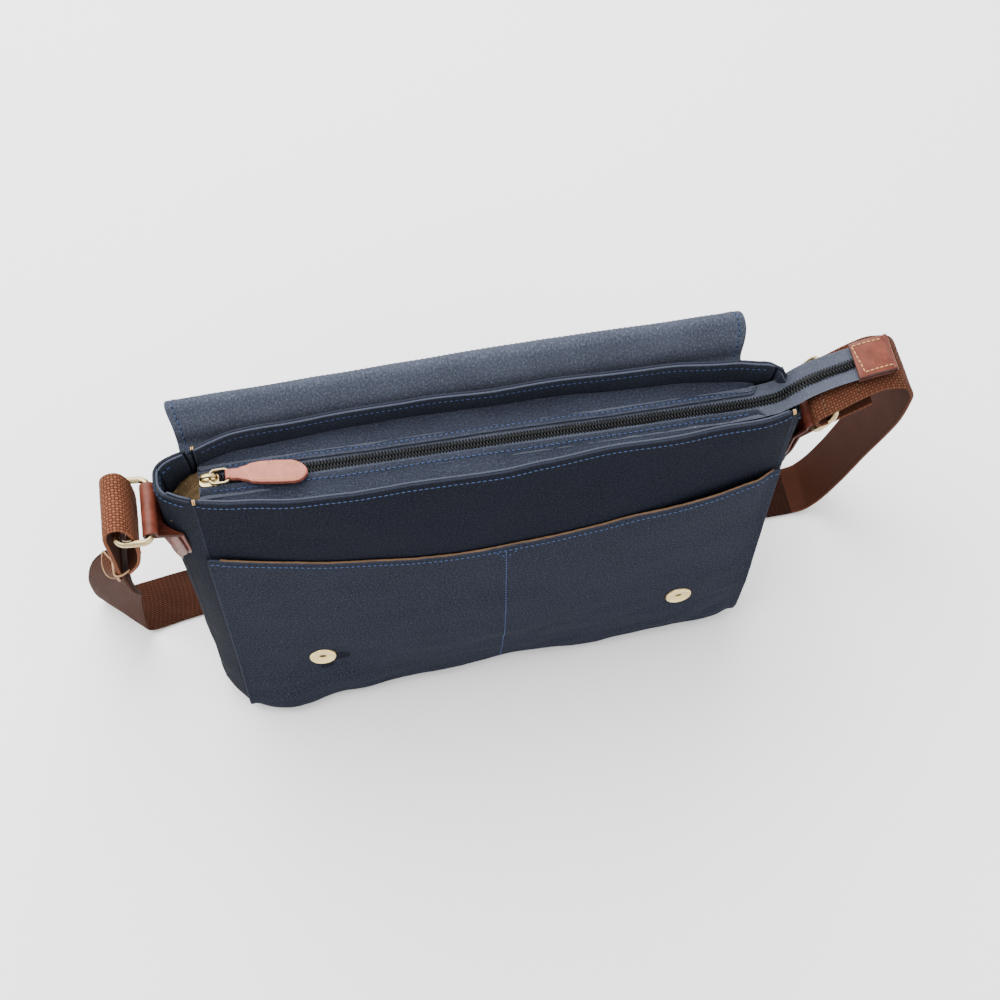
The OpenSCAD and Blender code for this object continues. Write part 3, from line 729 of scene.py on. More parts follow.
p = Piece()
p.sheet(floor_rows(0.6, 1.2), 1.8)
p.make("base_panel", [OUTER], "bag", ["base_panel"])
p = Piece()
p.sheet(floor_rows(6.0, 4.0, wave=0.8), 0.8)
p.make("base_lining", [LINING], "bag", ["base_lining"])

# corner seams: a thin sunken cord of folded cloth between each wall and gusset
for k, (sx, sy) in enumerate(((-1, -1), (1, -1), (1, 1), (-1, 1))):
    p = Piece()
    path = []
    for z in steps(3, HIGH - 3, 60):
        x = sx * (HALF - 1.6)
        path.append((x + lean(z) - sx * toe(z) * 0.6, face(sy, x + lean(z), z) - sy * 2.2, z))
    p.tube(path, 1.5, 0, 10, normal=Vector((1, 0, 0)))
    p.make("corner_seam_%d" % k, [FACING], "bag")

# ---- slip pocket and snaps
POCKET_END = box("pocket_edge")[1].z - 0.4
POCKET_DIP = 20.0


def pocket_top(x):
    return POCKET_END - POCKET_DIP * (1 - (x / HALF) ** 2) + 1.0 * math.sin(x * 0.03)


def pocket_out(x, z):
    """How far the pocket's middle surface stands off the front panel."""
    v = z / pocket_top(x)
    right = 3.4 * ease(70, 140, x) * (1 - ease(158, 173, x))
    left = 1.2 * (1 - ease(-165, -120, x)) * ease(-173, -166, x)
    return 1.0 + (right + left + 0.5) * ease(0.72, 1.0, v)


def pocket_point(x, z, off=0.0):
    wx = x + lean(z)
    y = face(-1, wx, z) - pocket_out(x, z) - seam_dip(x, z, HALF - 1.2) * -1 - off
    for s in SNAPS:
        d = math.hypot(wx - s.x, z - s.z)
        w = 1 - ease(9, 34, d)
        target = s.y + (3.2 if d < 60 else 0) * (1 if s.y < 0 else -1)
        y += (target - 0.9 - off - y) * w if w > 0 else 0
    return Vector((wx, y, z))


half = HALF - 1.2
xs = steps(-half, half, 130)
rows = [[pocket_point(x, 7 + (pocket_top(x) - 8.2) * v) for v in steps(0, 1, 56)] for x in xs]
p = Piece()
p.sheet(rows, 1.5)
line = [pocket_point(x, pocket_top(x) - 4.6, 0.75) for x in xs]
facing_out = [outward(-1, x, pocket_top(x) - 5) for x in xs]
p.stitches(line, facing_out, 1, 2)
mid = 3.0
zs = steps(9, pocket_top(mid) - 5, 60)
divide = [pocket_point(mid + 0.8 * math.sin(z * 0.02), z, 0.6) for z in zs]
p.stitches(divide, [outward(-1, mid, z) for z in zs], 1, 2)
tip, wing = pocket_top(mid) - 12.5, 7.5
tack = [(mid - wing, pocket_top(mid) - 4.8), (mid, tip), (mid + wing, pocket_top(mid) - 4.8)]
for a, b in zip(tack, tack[1:]):
    run = [(a[0] + (b[0] - a[0]) * q, a[1] + (b[1] - a[1]) * q) for q in steps(0.06, 0.94, 6)]
    p.stitches([pocket_point(x, z, 0.75) for x, z in run], [outward(-1, x, z) for x, z in run], 1, 2)
p.make("pocket_panel", [POCKET, BLUE, STITCH_SHADE], "bag", ["pocket_panel"])
p = Piece()
rows = [[pocket_point(x, pocket_top(x) - 1.3 + 1.5 * v, -0.3 + 0.25 * fbm(x * 0.2, v, 1.0))
         for v in steps(0, 1, 3)]
        for x in steps(-half + 7, half - 4, 160)]
p.sheet(rows, 0.9)
p.make("pocket_edge", [SUEDE], "bag", ["pocket_edge"])


def snap_place(s):
    n = outward(-1, s.x, s.z)
    x = Vector((1, 0, 0))
    up = n.cross(x).normalized()
    m = Matrix((up.cross(n), up, n)).transposed().to_4x4()
    m.translation = Vector((s.x, pocket_point(s.x - lean(s.z), s.z, 0.75).y, s.z))
    return m


SNAP_R = 9.0
SOCKET = [(2.3, 0.1), (2.35, 0.9), (2.8, 1.25), (3.4, 1.3), (SNAP_R - 2.9, 1.3), (SNAP_R - 2.3, 1.45),
          (SNAP_R - 1.7, 2.0), (SNAP_R - 0.9, 2.1), (SNAP_R - 0.25, 1.5), (SNAP_R, 0.7), (SNAP_R, -0.6)]
for s, name in zip(SNAPS, ("snap_socket_left", "snap_socket_right")):
    p = Piece()
    place = snap_place(s)
    p.lathe(SOCKET[::-1], place, 0, 56)
    # dark disc in the socket's hole: painted shade
    p.lathe([(2.6, 0.35), (1.2, 0.3), (0, 0.3)], place, 1, 32)
    p.make(name, [GOLD, HOLE_SHADE], "bag", [name])

# small bartacks of cream thread where the rim meets the corner seams
p = Piece()
for x, side in ((-173, -1), (-171, 1), (173, -1)):
    z = HIGH - 2.2
    y = face(side, x + lean(z), z)
    for k in range(2):
        q = Vector((x + lean(z) - 0.5 + k, y + side * 0.4, z))
        p.tube([q, q + Vector((0.2, -side * 1.4, 1.5)), q + Vector((0, -side * 2.6, 1.4))], 0.36, 0, 6)
p.make("rim_bartacks", [CREAM], "bag")

# ---- zip
SLIDE = Vector(next(j["axis"] for j in JOINT_ROWS if j["name"] == "zip_slide"))
ZX = SLIDE.normalized()
ZY = UP.cross(ZX).normalized()
ZZ = ZX.cross(ZY)
PULL_PIN = JOINTS["pull_ring_swing"]
SLIDER = PULL_PIN - ZX * 0.6 - ZZ * 4.6
ZIP_BEND = 164.0
BEND = SLIDER + ZX * ((ZIP_BEND - SLIDER.x) / ZX.x)


def on_zip(x, y, z):
    return SLIDER + ZX * x + ZY * y + ZZ * z


tail = [BEND + Vector(d) for d in ((9, 0, 2.5), (16, 0, 8), (24, 1, 13), (34, 2.5, 15.5), (46, 4.5, 16.5),
                                   (56, 6.2, 17.3), (66, 7.6, 17.8), (77, 8.9, 17.3))]
ZIP = [on_zip(x, 0, 0) for x in steps(-6, (BEND - SLIDER).length - 12, 60)]
ZIP += spline([BEND - ZX * 6] + tail, 8)
ZIP_LEN = [0.0]
for a, b in zip(ZIP, ZIP[1:]):
    ZIP_LEN.append(ZIP_LEN[-1] + (b - a).length)


def zip_at(s, y=0.0, z=0.0):
    """A point along the zip: s from its open end, y across, z up from the tape."""
    k = 0
    while k < len(ZIP_LEN) - 2 and ZIP_LEN[k + 1] < s:
        k += 1
    f = (s - ZIP_LEN[k]) / (ZIP_LEN[k + 1] - ZIP_LEN[k])
    t = (ZIP[k + 1] - ZIP[k]).normalized()
    t2 = (ZIP[min(len(ZIP) - 1, k + 2)] - ZIP[min(len(ZIP) - 2, k + 1)]).normalized()
    t = t.lerp(t2, f).normalized()
    side = UP.cross(t).normalized()
    return ZIP[k].lerp(ZIP[k + 1], f) + side * y + t.cross(side) * z


for side, name in ((-1, "zip_tape_front"), (1, "zip_tape_back")):
    p = Piece()
    rows = []
    for s in steps(0, ZIP_LEN[-1], 240):
        out = ease(300, 345, s)
        curl = 1.6 * out * (1 - ease(375, 400, s))
        rows.append([zip_at(s, side * y, -0.5 + curl * ((y - 2.6) / 8) ** 2
                            + 0.25 * fbm(s * 0.05, y * 0.1, side))
                     for y in (steps(2.6, 10.6, 8) if side > 0 else steps(10.6, 2.6, 8))])
    p.sheet(rows, 0.9)
    p.make(name, [TAPE], "bag", [name])
TOOTH = 1.9
ARCH = [(3.0, 0.0), (2.85, 0.65), (1.9, 0.95), (0.7, 1.0), (-0.15, 0.7), (-0.3, 0.1)]
for side, name in ((-1, "zip_coil_front"), (1, "zip_coil_back")):
    p = Piece()
    rows = [[zip_at(s, side * y, -0.35) for y in (steps(0.1, 3.0, 2) if side > 0 else steps(3.0, 0.1, 2))]
            for s in steps(0.5, ZIP_LEN[-1] - 8, 160)]
    p.sheet(rows, 0.5)
    count = int((ZIP_LEN[-1] - 12) / TOOTH)
    for k in range(count):
        s = 1.5 + (k + (0.5 if side > 0 else 0)) * TOOTH
        p.tube([zip_at(s + 0.25 * y, side * y, z) for y, z in ARCH], [0.35, 0.56, 0.6, 0.6, 0.5, 0.3], 0, 8,
               normal=ZX)
    for k in range(5):
        s, y = 0.6 - 1.5 * k, 2.2 + 1.3 * k
        split = [on_zip(s, side * (y - 1.2), -0.2), on_zip(s, side * y, 0.8),
                 on_zip(s - 0.4, side * (y + 1.6), 0.1)]
        p.tube(split, [0.4, 0.55, 0.35], 0, 8)
    p.make(name, [COIL], "bag", [name])

for side, name in ((-1, "zip_panel_front"), (1, "zip_panel_back")):
    p = Piece()
    x0, x1 = box(name)[0].x, box(name)[1].x
    rows, line, up = [], [], []
    for x in steps(x0, x1, 110):
        along = on_zip((x - SLIDER.x) / ZX.x, 0, 0)
        a = Vector((x, face(side, x, 238) - side * 4.6, along.z - 2.2))
        corner = 4 * (1 - math.sqrt(max(0, 1 - max(0, (x - x1 + 5) / 5) ** 2)))
        edge = 5.6 + corner + 0.35 * math.sin(x * 0.045 + side)
        b = Vector((x, along.y + side * edge, along.z + 0.9))
        row = []
        for q in steps(0, 1, 14):
            sag = -2.0 * math.sin(math.pi * q) * (0.7 + 0.5 * fbm(x * 0.02, 1.0, side))
            lift = 0.7 * ease(0.72, 0.92, q)
            row.append(a.lerp(b, q) + Vector((0, 0, sag + lift + 0.5 * fbm(x * 0.05, q * 2, 4.0 + side))))
        rows.append(row if side < 0 else row[::-1])
        line.append(row[12] + Vector((0, 0, 0.75)))
        up.append(Vector((0, -side * 0.1, 1)))
    p.sheet(rows, 1.5, (0, 0, 0), hem=(1, 1, side > 0, side < 0))
    p.stitches(line[2:-3], up[2:-3], 1, 2, r=0.4)
    p.make(name, [SHELF, BLUE, STITCH_SHADE], "bag", [name])

# slider: two shaped plates, a nose and an arched bridge
p = Piece()
PLATE = [(-5.5, 2.2), (-4.6, 3.6), (-3, 4.2), (0, 4.3), (2.5, 3.9), (4.2, 3.3), (5.5, 2.9)]
for z, thick in ((2.3, 1.2), (-2.1, 1.0)):
    rows = [[on_zip(x, w * q, z + (0.25 * (1 - q * q) if z > 0 else 0)) for q in steps(-1, 1, 10)]
            for x, w in ((x, table(PLATE, x)) for x in steps(-5.3, 5.3, 16))]
    p.sheet(rows, thick, (0, 0, 0))
p.tube([on_zip(-4.6, 0, -2), on_zip(-4.6, 0, 2.3)], [1.2, 1.2], 0, 12, normal=ZX)
for side in (-1, 1):
    p.tube([on_zip(x, side * 4.0, 1.4) for x in (-3.6, -1, 2, 4.2)], [0.5, 0.6, 0.6, 0.5], 0, 8)
BRIDGE = [(-4.3, 2.4), (-4.2, 4.6), (-3, 6.3), (0, 6.8), (2.9, 6.3), (4.1, 4.7), (4.2, 2.4)]
bridge = spline([on_zip(x, 0, z) for x, z in BRIDGE], 5)
p.tube(bridge, [1.1] * len(bridge), 0, 12, normal=ZY, flat=1.25)
p.make("zip_slider", [BRASS], "slider", ["zip_slider"])


def rounded_loop(length, width, r, centre, ex, ey, n=8):
    out = []
    for k, (sx, sy) in enumerate(((1, 1), (-1, 1), (-1, -1), (1, -1))):
        for q in range(n + 1):
            w = math.radians(90 * k + 90 * q / n)
            along = sx * (length / 2 - r) + r * math.cos(w)
            out.append(centre + ex * along + ey * (sy * (width / 2 - r) + r * math.sin(w)))
    return out


p = Piece()
p.tube(rounded_loop(11, 9, 3.2, PULL_PIN + ZX * 5.5, ZX, ZY), 0.8, 0, 12, closed=True, normal=ZZ)
p.make("zip_pull_ring", [BRASS], "pull_ring", ["zip_pull_ring"])

# leather pull: two layers sewn together round the ring
p = Piece()
PIN = JOINTS["pull_swing"]
OUTLINE = [(0.5, 3.3), (5, 3.4), (9, 4.6), (14, 6.4), (19, 7.1), (27, 7.4), (35, 7.3)]
END = 44.0


def pull_half(x):
    if x > 35:
        return 7.3 * math.sqrt(max(0.0, 1 - ((x - 35) / (END - 35)) ** 2))
    return table(OUTLINE, x)


def pull_at(x, y, z):
    bend = 0.9 * math.sin(x / END * 3.0) - 0.3 * (x / END)
    return PIN + ZX * x + ZY * (y - 0.11 * x) + ZZ * (z + bend)


for z in (0.95, -0.85):
    rows = []
    for x in [0.9 + (END - 1.0) * math.sin(q * math.pi / 2) for q in steps(0, 1, 46)]:
        w = max(0.12, pull_half(x) - 0.75)
        crown = 0.35 if z > 0 else -0.35
        rows.append([pull_at(x, w * q, z + crown * (1 - q * q)) for q in steps(-1, 1, 12)])
    p.sheet(rows, 1.55)
wrap = [PIN + ZX * (1.55 * math.cos(w)) + ZZ * (1.75 * math.sin(w)) for w in arc(60, 301, 15)]
p.sheet([[q + ZY * y for y in steps(-2.4, 2.4, 6)] for q in wrap], 1.2)
line = [pull_at(x, pull_half(x) - 2.0, 1.85) for x in steps(11, 35, 20)]
line += [pull_at(35 + (END - 35 - 2.1) * math.cos(w), 5.3 * math.sin(w), 1.85) for w in arc(80, -81, -10)]
line += [pull_at(x, -pull_half(x) + 2.0, 1.85) for x in steps(35, 11, 20)]
p.stitches(line, [ZZ] * len(line), 1, pitch=2.5, length=1.7, r=0.34, lift=0.02)
p.make("zip_pull_leather", [PALE, CREAM], "pull", ["zip_pull_leather"])

# leather wrap on the zip's tail
p = Piece()
s1 = ZIP_LEN[-1] - 1.0
s0 = s1 - 21.0
track = [zip_at(s, 0, 2.6) for s in steps(s0, s1, 12)]
end = zip_at(s1, 0, 0)
t = (zip_at(s1, 0, 0) - zip_at(s1 - 2, 0, 0)).normalized()
n = t.cross(ZY).normalized() * -1
track += [end + t * (2.6 * math.sin(w)) + n * (2.6 * math.cos(w)) for w in arc(20, 180, 20)]
track += [zip_at(s, 0, -2.6) for s in steps(s1, s0, 12)]
rows = [[q + ZY * y + Vector((0, 0, -0.5 * (abs(y) / 11.4) ** 4 * (1 if k < 13 else -1)))
         for y in steps(-11.4, 11.4, 14)]
        for k, q in enumerate(track)]
p.sheet(rows, 1.7)
for path in ([(s0 + 2, y) for y in steps(-9.4, 9.4, 12)], [(s, -9.4) for s in steps(s0 + 2, s1 - 1, 12)],
             [(s, 9.4) for s in steps(s0 + 2, s1 - 1, 12)]):
    line = [zip_at(s, y, 3.5 - 0.25 * (abs(y) / 11.4) ** 4) for s, y in path]
    p.stitches(line, [UP] * len(line), 1, pitch=2.9, length=2.1, r=0.38, lift=0.05)
p.make("zip_end_tab", [COGNAC, CREAM], "bag", ["zip_end_tab"])

# khaki lining bunched at the zip's open end
p = Piece()
rows = []
for q in steps(0, 1, 26):
    y = -13 + 26 * q
    rows.append([])
    for r in steps(0, 1, 26):
        x = box("zip_panel_front")[0].x + 5 - 26 * r
        pleat = 3.0 * abs(math.sin(q * 9 + r * 3)) * (0.3 + r)
        z = 239.5 - 10 * r ** 1.4 - pleat + 2.4 * fbm(q * 3, r * 3, 8.0)
        rows[-1].append(Vector((x, y * (1 - 0.12 * r) + 2, z)))
p.sheet(rows[::-1], 0.8)
p.make("lining_bunch", [LINING], "bag")

# ---- flap, a chain of bends
HINGES = [JOINTS["flap_bend_%d" % k] for k in (1, 2, 3)]
LEAN = math.radians(60)
LAST = Vector((0, math.cos(LEAN), -math.sin(LEAN)))
FLAP_L = (box("flap_front_outer")[0].z - HINGES[2].z) / LAST.z
FRONT_START = 16.0
FX0, FX1 = box("flap_top")[0].x - 6.5, box("flap_top")[1].x - 3.0
SEAM = Vector((0, 36.5, 226))
BENDS = (9.0, 7.0, 7.0)


def flap_line():
    """The flap's side view from its seam on the back wall to its foot: its points, their distances
    from the seam, the middle of the second bend, where the pieces meet, and where each bend starts
    and ends."""
    line, ends = [SEAM], []
    dirs = [(b - a).normalized() for a, b in zip([SEAM] + HINGES, HINGES)] + [LAST]
    for k, h in enumerate(HINGES):
        r = BENDS[k]
        s, e = h - dirs[k] * r, h + dirs[k + 1] * r
        line += [s * (1 - q) ** 2 + h * (2 * q * (1 - q)) + e * q * q for q in steps(0, 1, 12)]
        ends.append((s, e))
    line.append(HINGES[2] + LAST * FLAP_L)
    total = [0.0]
    for a, b in zip(line, line[1:]):
        total.append(total[-1] + (b - a).length)
    cuts = [0.0, (total[13] + total[14]) / 2, (total[26] + total[27]) / 2, total[39] - BENDS[2] + FRONT_START]
    return line, total, total[20], cuts, ends


FLAP, FLAP_AT, BEND_2_AT, FLAP_CUT, FLAP_ENDS = flap_line()


def flap_spine(s):
    """Point and unit normal (towards the inner face) at s mm along the flap."""
    k = 0
    while k < len(FLAP_AT) - 2 and FLAP_AT[k + 1] < s:
        k += 1
    f = (s - FLAP_AT[k]) / (FLAP_AT[k + 1] - FLAP_AT[k])
    t = (FLAP[k + 1] - FLAP[k]).normalized()
    return FLAP[k].lerp(FLAP[k + 1], f), Vector((0, -t.z, t.y))


def flap_row(s, off, inset=0.0):
    """One row across the flap, off millimetres towards its inner face."""
    r = 22.0
    cut = r - math.sqrt(max(0.0, r * r - max(0.0, s - (FLAP_AT[-1] - r)) ** 2))
    c, up = flap_spine(s)
    row = []
    right = FX1 + 4.5 * math.exp(-((s - 31) / 14) ** 2)
    left = FX0 - 1.5 - 3 * math.exp(-((s - 38) / 12) ** 2)
    for x in steps(right - cut - inset, left + cut + inset, 84):
        wave = ease(6, 60, s) * (0.9 * fbm(x * 0.012, s * 0.014, 20.0) + 0.7 * math.sin(x * 0.016 + 1.0))
        wave += ease(110, 260, s) * (0.6 * fbm(x * 0.01, s * 0.03, 31.0) - 0.6)
        wall = (face(1, x, 226) + 1.2 - SEAM.y) * (1 - ease(0, 15, s))
        row.append(Vector((x, c.y + wall, c.z)) + up * (off + wave))
    return row


LAYERS = ((0.76, INNER, "canvas_inner"), (-0.76, OUTER, "canvas_outer"))
for layer, (off, cloth_mat, finish) in enumerate(LAYERS):
    sign = 1 if layer == 0 else -1
    for k in range(3):
        p = Piece()
        ss = steps(FLAP_CUT[k], FLAP_CUT[k + 1], (20, 30, 20)[k])
        rows = [flap_row(s, off) for s in ss]
        at = [[(s, -q.x) for q in r] for s, r in zip(ss, rows)]
        p.sheet(rows, 1.46, (0, 0, 0), at, hem=(k == 0, 0, 1, 1))
        fine = steps(FLAP_CUT[k] + (1 if k == 0 else 0), FLAP_CUT[k + 1], 40)
        for c in (0, -1):
            line = [flap_row(s, off + sign * 0.73, 3.8)[c] for s in fine]
            p.stitches(line, [flap_spine(s)[1] * sign for s in fine], 1, 2)
        if k == 1 and layer == 0:
            s = BEND_2_AT + 9
            line = flap_row(s, off + 0.73)[3:-3]
            p.stitches(line, [flap_spine(s)[1]] * len(line), 1, r=0.3, length=1.8)
        ends = FLAP_ENDS[k]
        if k == 1:
            ends = (ends[0].lerp(ends[1], 0.3), ends[0].lerp(ends[1], 0.7))
        above = "bag" if k == 0 else "flap_%d" % k
        body = (above, "flap_%d" % (k + 1), tuple(ends[0] * MM), tuple(ends[1] * MM))
        nodes = (["flap_seam_strip"], ["flap_fold"], ["flap_top"])[k] if layer == 0 else []
        name = "flap_bend_%d_%s" % (k + 1, ("inner", "outer")[layer])
        p.make(name, [cloth_mat, BLUE, STITCH_SHADE], body, nodes)
    p = Piece()
    foot = FLAP_AT[-1]
    ss = steps(FLAP_CUT[3], foot - 23, 50)
    ss += [foot - 23 + 22.5 * math.sin(q * math.pi / 2) for q in steps(0.07, 1, 12)]
    rows = [flap_row(s, off) for s in ss]
    p.sheet(rows, 1.46, (0, 0, 0), [[(s, -q.x) for q in r] for s, r in zip(ss, rows)], hem=(0, 1, 1, 1))
    up = Vector((0, -LAST.z, LAST.y)) * sign
    sides = [flap_row(s, off + sign * 0.73, 3.8) for s in steps(FLAP_CUT[3], foot - 4.5, 70)]
    for line in ([r[-1] for r in sides], [r[0] for r in sides], flap_row(foot - 4.5, off + sign * 0.73, 4.5)):
        p.stitches(line, [up] * len(line), 1, 2)
    p.make(("flap_front_lining", "flap_front_outer")[layer], [cloth_mat, BLUE, STITCH_SHADE], "flap_3",
           [("flap_front_lining", "flap_front_outer")[layer]])

STUD = [(0, 3.2), (1.1, 3.2), (1.5, 2.9), (1.6, 1.9), (2.6, 1.7), (SNAP_R - 2.0, 1.7),
        (SNAP_R - 1.4, 1.85), (SNAP_R - 0.5, 1.6), (SNAP_R, 1.0), (SNAP_R, -0.6)]
for name in ("snap_stud_left", "snap_stud_right"):
    lo, hi = box(name)
    up = Vector((0, -LAST.z, LAST.y))
    m = Matrix((Vector((1, 0, 0)), up.cross(Vector((1, 0, 0))), up)).transposed().to_4x4()
    c = (lo + hi) / 2
    s = (c - HINGES[2]).dot(LAST)
    m.translation = Vector((c.x, HINGES[2].y, HINGES[2].z)) + LAST * s + up * 1.55
    p = Piece()
    p.lathe(STUD[::-1], m, 0, 56)
    p.make(name, [GOLD], "flap_3", [name])

# ---- rings and their leather tabs
TILT = {-1: 10, 1: 55}
for side, name in ((-1, "left"), (1, "right")):
    pin = JOINTS["ring_%s_swing" % name] + Vector((0, 1.5 if side > 0 else 0, 0))
    w = math.radians(TILT[side])
    ex = Vector((side * math.cos(w), 0, math.sin(w)))
    p = Piece()
    p.tube(rounded_loop(20, 42, 5.5, pin + ex * 10, ex, Vector((0, 1, 0)), 10), 2.0, 0, 18, closed=True,
           normal=ex.cross(Vector((0, 1, 0))))
    p.make("ring_" + name, [BRASS], "ring_l" if side < 0 else "ring_r", ["ring_" + name])
    tab = Piece()
    r = 3.2
    path = []
    for z in steps(179, pin.z - 5, 14):
        q = (z - 179) / (pin.z - 184)
        path.append(lambda y, z=z, q=q: gusset(side, y / 20, z, -1.1 - 2.0 * q * q))
    bulge = 1.3 if side < 0 else 1.0
    for w in arc(200, -31, -14):
        wide = bulge if math.cos(w) > 0 else 1.0
        reach, height = side * r * wide * math.cos(w), r * math.sin(w)
        path.append(lambda y, dx=reach, dz=height: Vector((pin.x + dx, y, pin.z + dz)))
    for z in steps(pin.z - 5, 179, 14):
        q = (z - 179) / (pin.z - 184)
        path.append(lambda y, z=z, q=q: gusset(side, y / 20, z, -3.2 - 3.4 * q * q))
    rows = []
    for f in path:
        row = []
        narrow = 1 - 0.3 * (1 - ease(179, 204, f(0).z))
        for y in steps(-16.5 * narrow, 16.5 * narrow, 14):
            v = f(y)
            v.y = y + 3 * (1 - narrow) / 0.3
            row.append(v)
        rows.append(row)
    tab.sheet(rows if side > 0 else [q[::-1] for q in rows], 1.8)
    for y in (-13.6, 13.6):
        line = [rows[-1 - k][1 if y < 0 else -2] + Vector((side * 1.0, 0, 0)) for k in range(0, 13)]
        tab.stitches(line, [Vector((side, 0, 0.2))] * len(line), 1, pitch=3.2, length=2.3, r=0.4)
    tab.make("ring_tab_" + name, [COGNAC, CREAM], "bag", ["ring_tab_" + name])

# ---- webbing strap
WEB_T = box("strap_floor")[1].z


def ribbon(piece, edges, n=8, across=10, slots=(0, 1, 0), seed=0.0):
    """A band of webbing between two edge curves, standing on the side they lie on."""
    a, b = spline([e[0] for e in edges], n), spline([e[1] for e in edges], n)
    rows = [[p.lerp(q, c) for c in steps(0, 1, across)] for p, q in zip(a, b)]
    m = len(rows)
    out = []
    for i, row in enumerate(rows):
        out.append([])
        for j, p in enumerate(row):
            di = rows[min(m - 1, i + 1)][j] - rows[max(0, i - 1)][j]
            dj = row[min(across, j + 1)] - row[max(0, j - 1)]
            up = di.cross(dj).normalized()
            out[-1].append(p + up * (WEB_T / 2 + 0.25 * fbm(i * 0.12, j * 0.3, seed)))
    piece.sheet(out, WEB_T - 0.2, slots)
    return out


def flat(path, half=18.0):
    return [(Vector(p) - Vector((0, half, 0)), Vector(p) + Vector((0, half, 0))) for p in path]


LOOP = [(-226, 0, 190), (-225.5, 0, 202), (-225, 0, 216), (-224.6, 0, 231), (-223, 0, 239),
        (-219.5, 0, 242.6), (-215, 0, 242), (-212.2, 0, 236), (-211.4, 0, 226), (-212, 0, 213),
        (-215.5, 0, 199), (-222, 0, 190)]
p = Piece()
ribbon(p, flat(LOOP), 6, seed=3.0)
p.make("strap_left_loop", [WEB, WEB_BACK], "bag", ["strap_left_loop"])
p = Piece()
rows = []
for z in steps(193, 171, 14):
    half = 16.5 * math.sqrt(max(0.02, 1 - max(0, (180 - z) / 10) ** 2)) if z < 180 else 16.5
    rows.append([Vector((-229.6 - 0.5 * math.cos(q), half * q, z)) for q in steps(-1, 1, 12)])
p.sheet(rows[::-1], 1.8, (2, 2, 1))
rim = spline([(-236.5, 0, 188), (-238, -6, 184), (-237, -10.5, 178), (-233.5, -11.5, 174.5),
              (-228, -10, 173), (-222, -6, 175), (-216, 0, 180)], 5)
crown = spline([(-230.5, -10, 191), (-230, -18.8, 191), (-226, -19.2, 190), (-219, -16, 191)], 10)
rows = [[a.lerp(b, q) for q in steps(0, 1, 6)] for a, b in zip(rim, crown)]
p.sheet(rows, 1.2, (2, 2, 1))
p.tube([q + Vector((0, -0.3, -0.4)) for q in rim], 0.95, 1, 8)
p.make("strap_left_patch", [COGNAC, RAW, WEB_END_SHADED], "bag", ["strap_left_patch"])
FALL = [((-227.5, -17.5, 190), (-227.5, 18, 190)), ((-227.5, -17, 172), (-228, 18, 172)),
        ((-228, -13, 152), (-235, 21, 154)), ((-229, -3, 128), (-249, 27, 134)),
        ((-233, 8, 104), (-260, 33, 112)), ((-239, 17, 72), (-269, 40, 84)),
        ((-244, 23, 40), (-276, 48, 52)), ((-247, 26.5, 14), (-280, 57, 16)),
        ((-245.5, 28.5, 3.5), (-278, 61, 3.5)), ((-236, 31, 0.4), (-266, 65, 0.6)),
        ((-222, 34, 0.2), (-243, 68.5, 0.2)), ((-200, 37, 0.1), (-212, 72.5, 0.1)),
        ((-170, 38, 0.1), (-174, 74, 0.1)), ((-120, 38, 0.1), (-120, 74, 0.1)),
        ((-50, 37, 0.1), (-50, 73, 0.1))]
FALL += [((x, 38, 0.1), (x, 74, 0.1)) for x in (50, 140, 200, 236)]
p = Piece()
ribbon(p, FALL, 7, seed=5.0)
p.make("strap_left_and_floor", [WEB_FALL_SHADED, WEB_FALL_SHADED], "bag", ["strap_left_fall", "strap_floor"])
END_LOOP = [(227, 5, 241), (212, 1, 240.2), (200, -2, 239.6), (193.2, -4, 241.2), (191.8, -4, 245),
            (195, -3.5, 248), (206, -0.5, 249), (220, 4, 249.4), (232, 7, 249.8), (241, 7, 249.2),
            (247, 7, 247.2)]
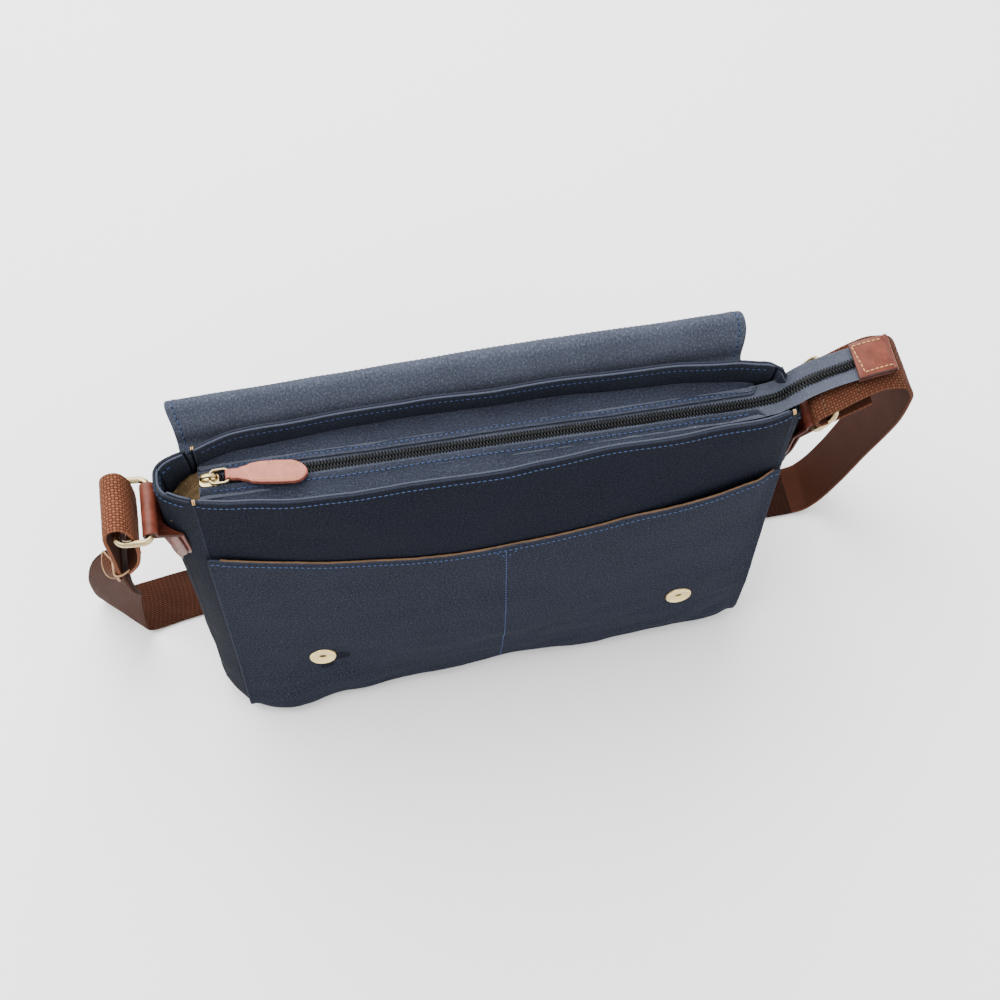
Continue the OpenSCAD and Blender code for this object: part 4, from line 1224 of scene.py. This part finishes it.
FALL_R = [(251.5, 7, 240), (253.5, 8, 230), (256, 13, 200), (259, 24, 160), (261, 38, 110), (259, 48, 60),
          (254, 54, 25), (248.5, 56, 9.5), (243.5, 56, 4.8), (236, 56, 2.6)]
p = Piece()
rows = ribbon(p, flat(END_LOOP + FALL_R), 7, seed=8.0)
for k in (36, 48):
    line = [q + Vector((0, 0, 1.1)) for q in rows[k][1:-1]]
    p.stitches(line, [UP] * len(line), 2, 3, r=0.4)
bend = ("bag", "ring_r", (0.243, 0.056, 0.006), tuple(Vector((0.250, 0.003, 0.238))))
p.make("strap_right", [WEB_END_SHADED, WEB_BACK, SUEDE, STITCH_SHADE], bend, ["strap_right_fall", "strap_right_end"])

hidden = frame["nodes"]["snap_socket_backings"].data.materials
hidden.clear()
hidden.append(STEEL)


# ---- studio
def area(name, place, aim, size, power, color=(1, 1, 1)):
    data = bpy.data.lights.new(name, "AREA")
    data.shape = "RECTANGLE"
    data.size, data.size_y = size
    data.energy = power
    data.color = color
    obj = bpy.data.objects.new(name, data)
    bpy.context.scene.collection.objects.link(obj)
    obj.location = place
    obj.rotation_euler = (Vector(aim) - Vector(place)).to_track_quat("-Z", "Y").to_euler()


area("key", (-0.8, 0.6, 2.0), (0, 0, 0.1), (2.2, 2.2), 95)
area("fill", (1.5, -1.3, 1.6), (0, 0, 0.12), (1.6, 1.6), 14)
area("rim", (0.2, 1.9, 1.3), (0, 0, 0.15), (2.0, 0.9), 40)
world = bpy.data.worlds.new("studio")
world.use_nodes = True
world.node_tree.nodes["Background"].inputs[0].default_value = (1, 1, 1, 1)
world.node_tree.nodes["Background"].inputs[1].default_value = 1.6
bpy.context.scene.world = world
floor = Piece()
rows = [[floor.point((x, y, -0.05)) for y in (-3000, 3000)] for x in (-3000, 3000)]
floor.web(rows, 0)
mesh = bpy.data.meshes.new("floor")
mesh.from_pydata([Vector(q) * MM for q in floor.points], [], floor.faces)
mesh.materials.append(plain("floor", (0.97, 0.97, 0.97), 0.75, 3.0, 0.01, specular_ior_level=0.1))
ground = bpy.data.objects.new("floor", mesh)
bpy.context.scene.collection.objects.link(ground)
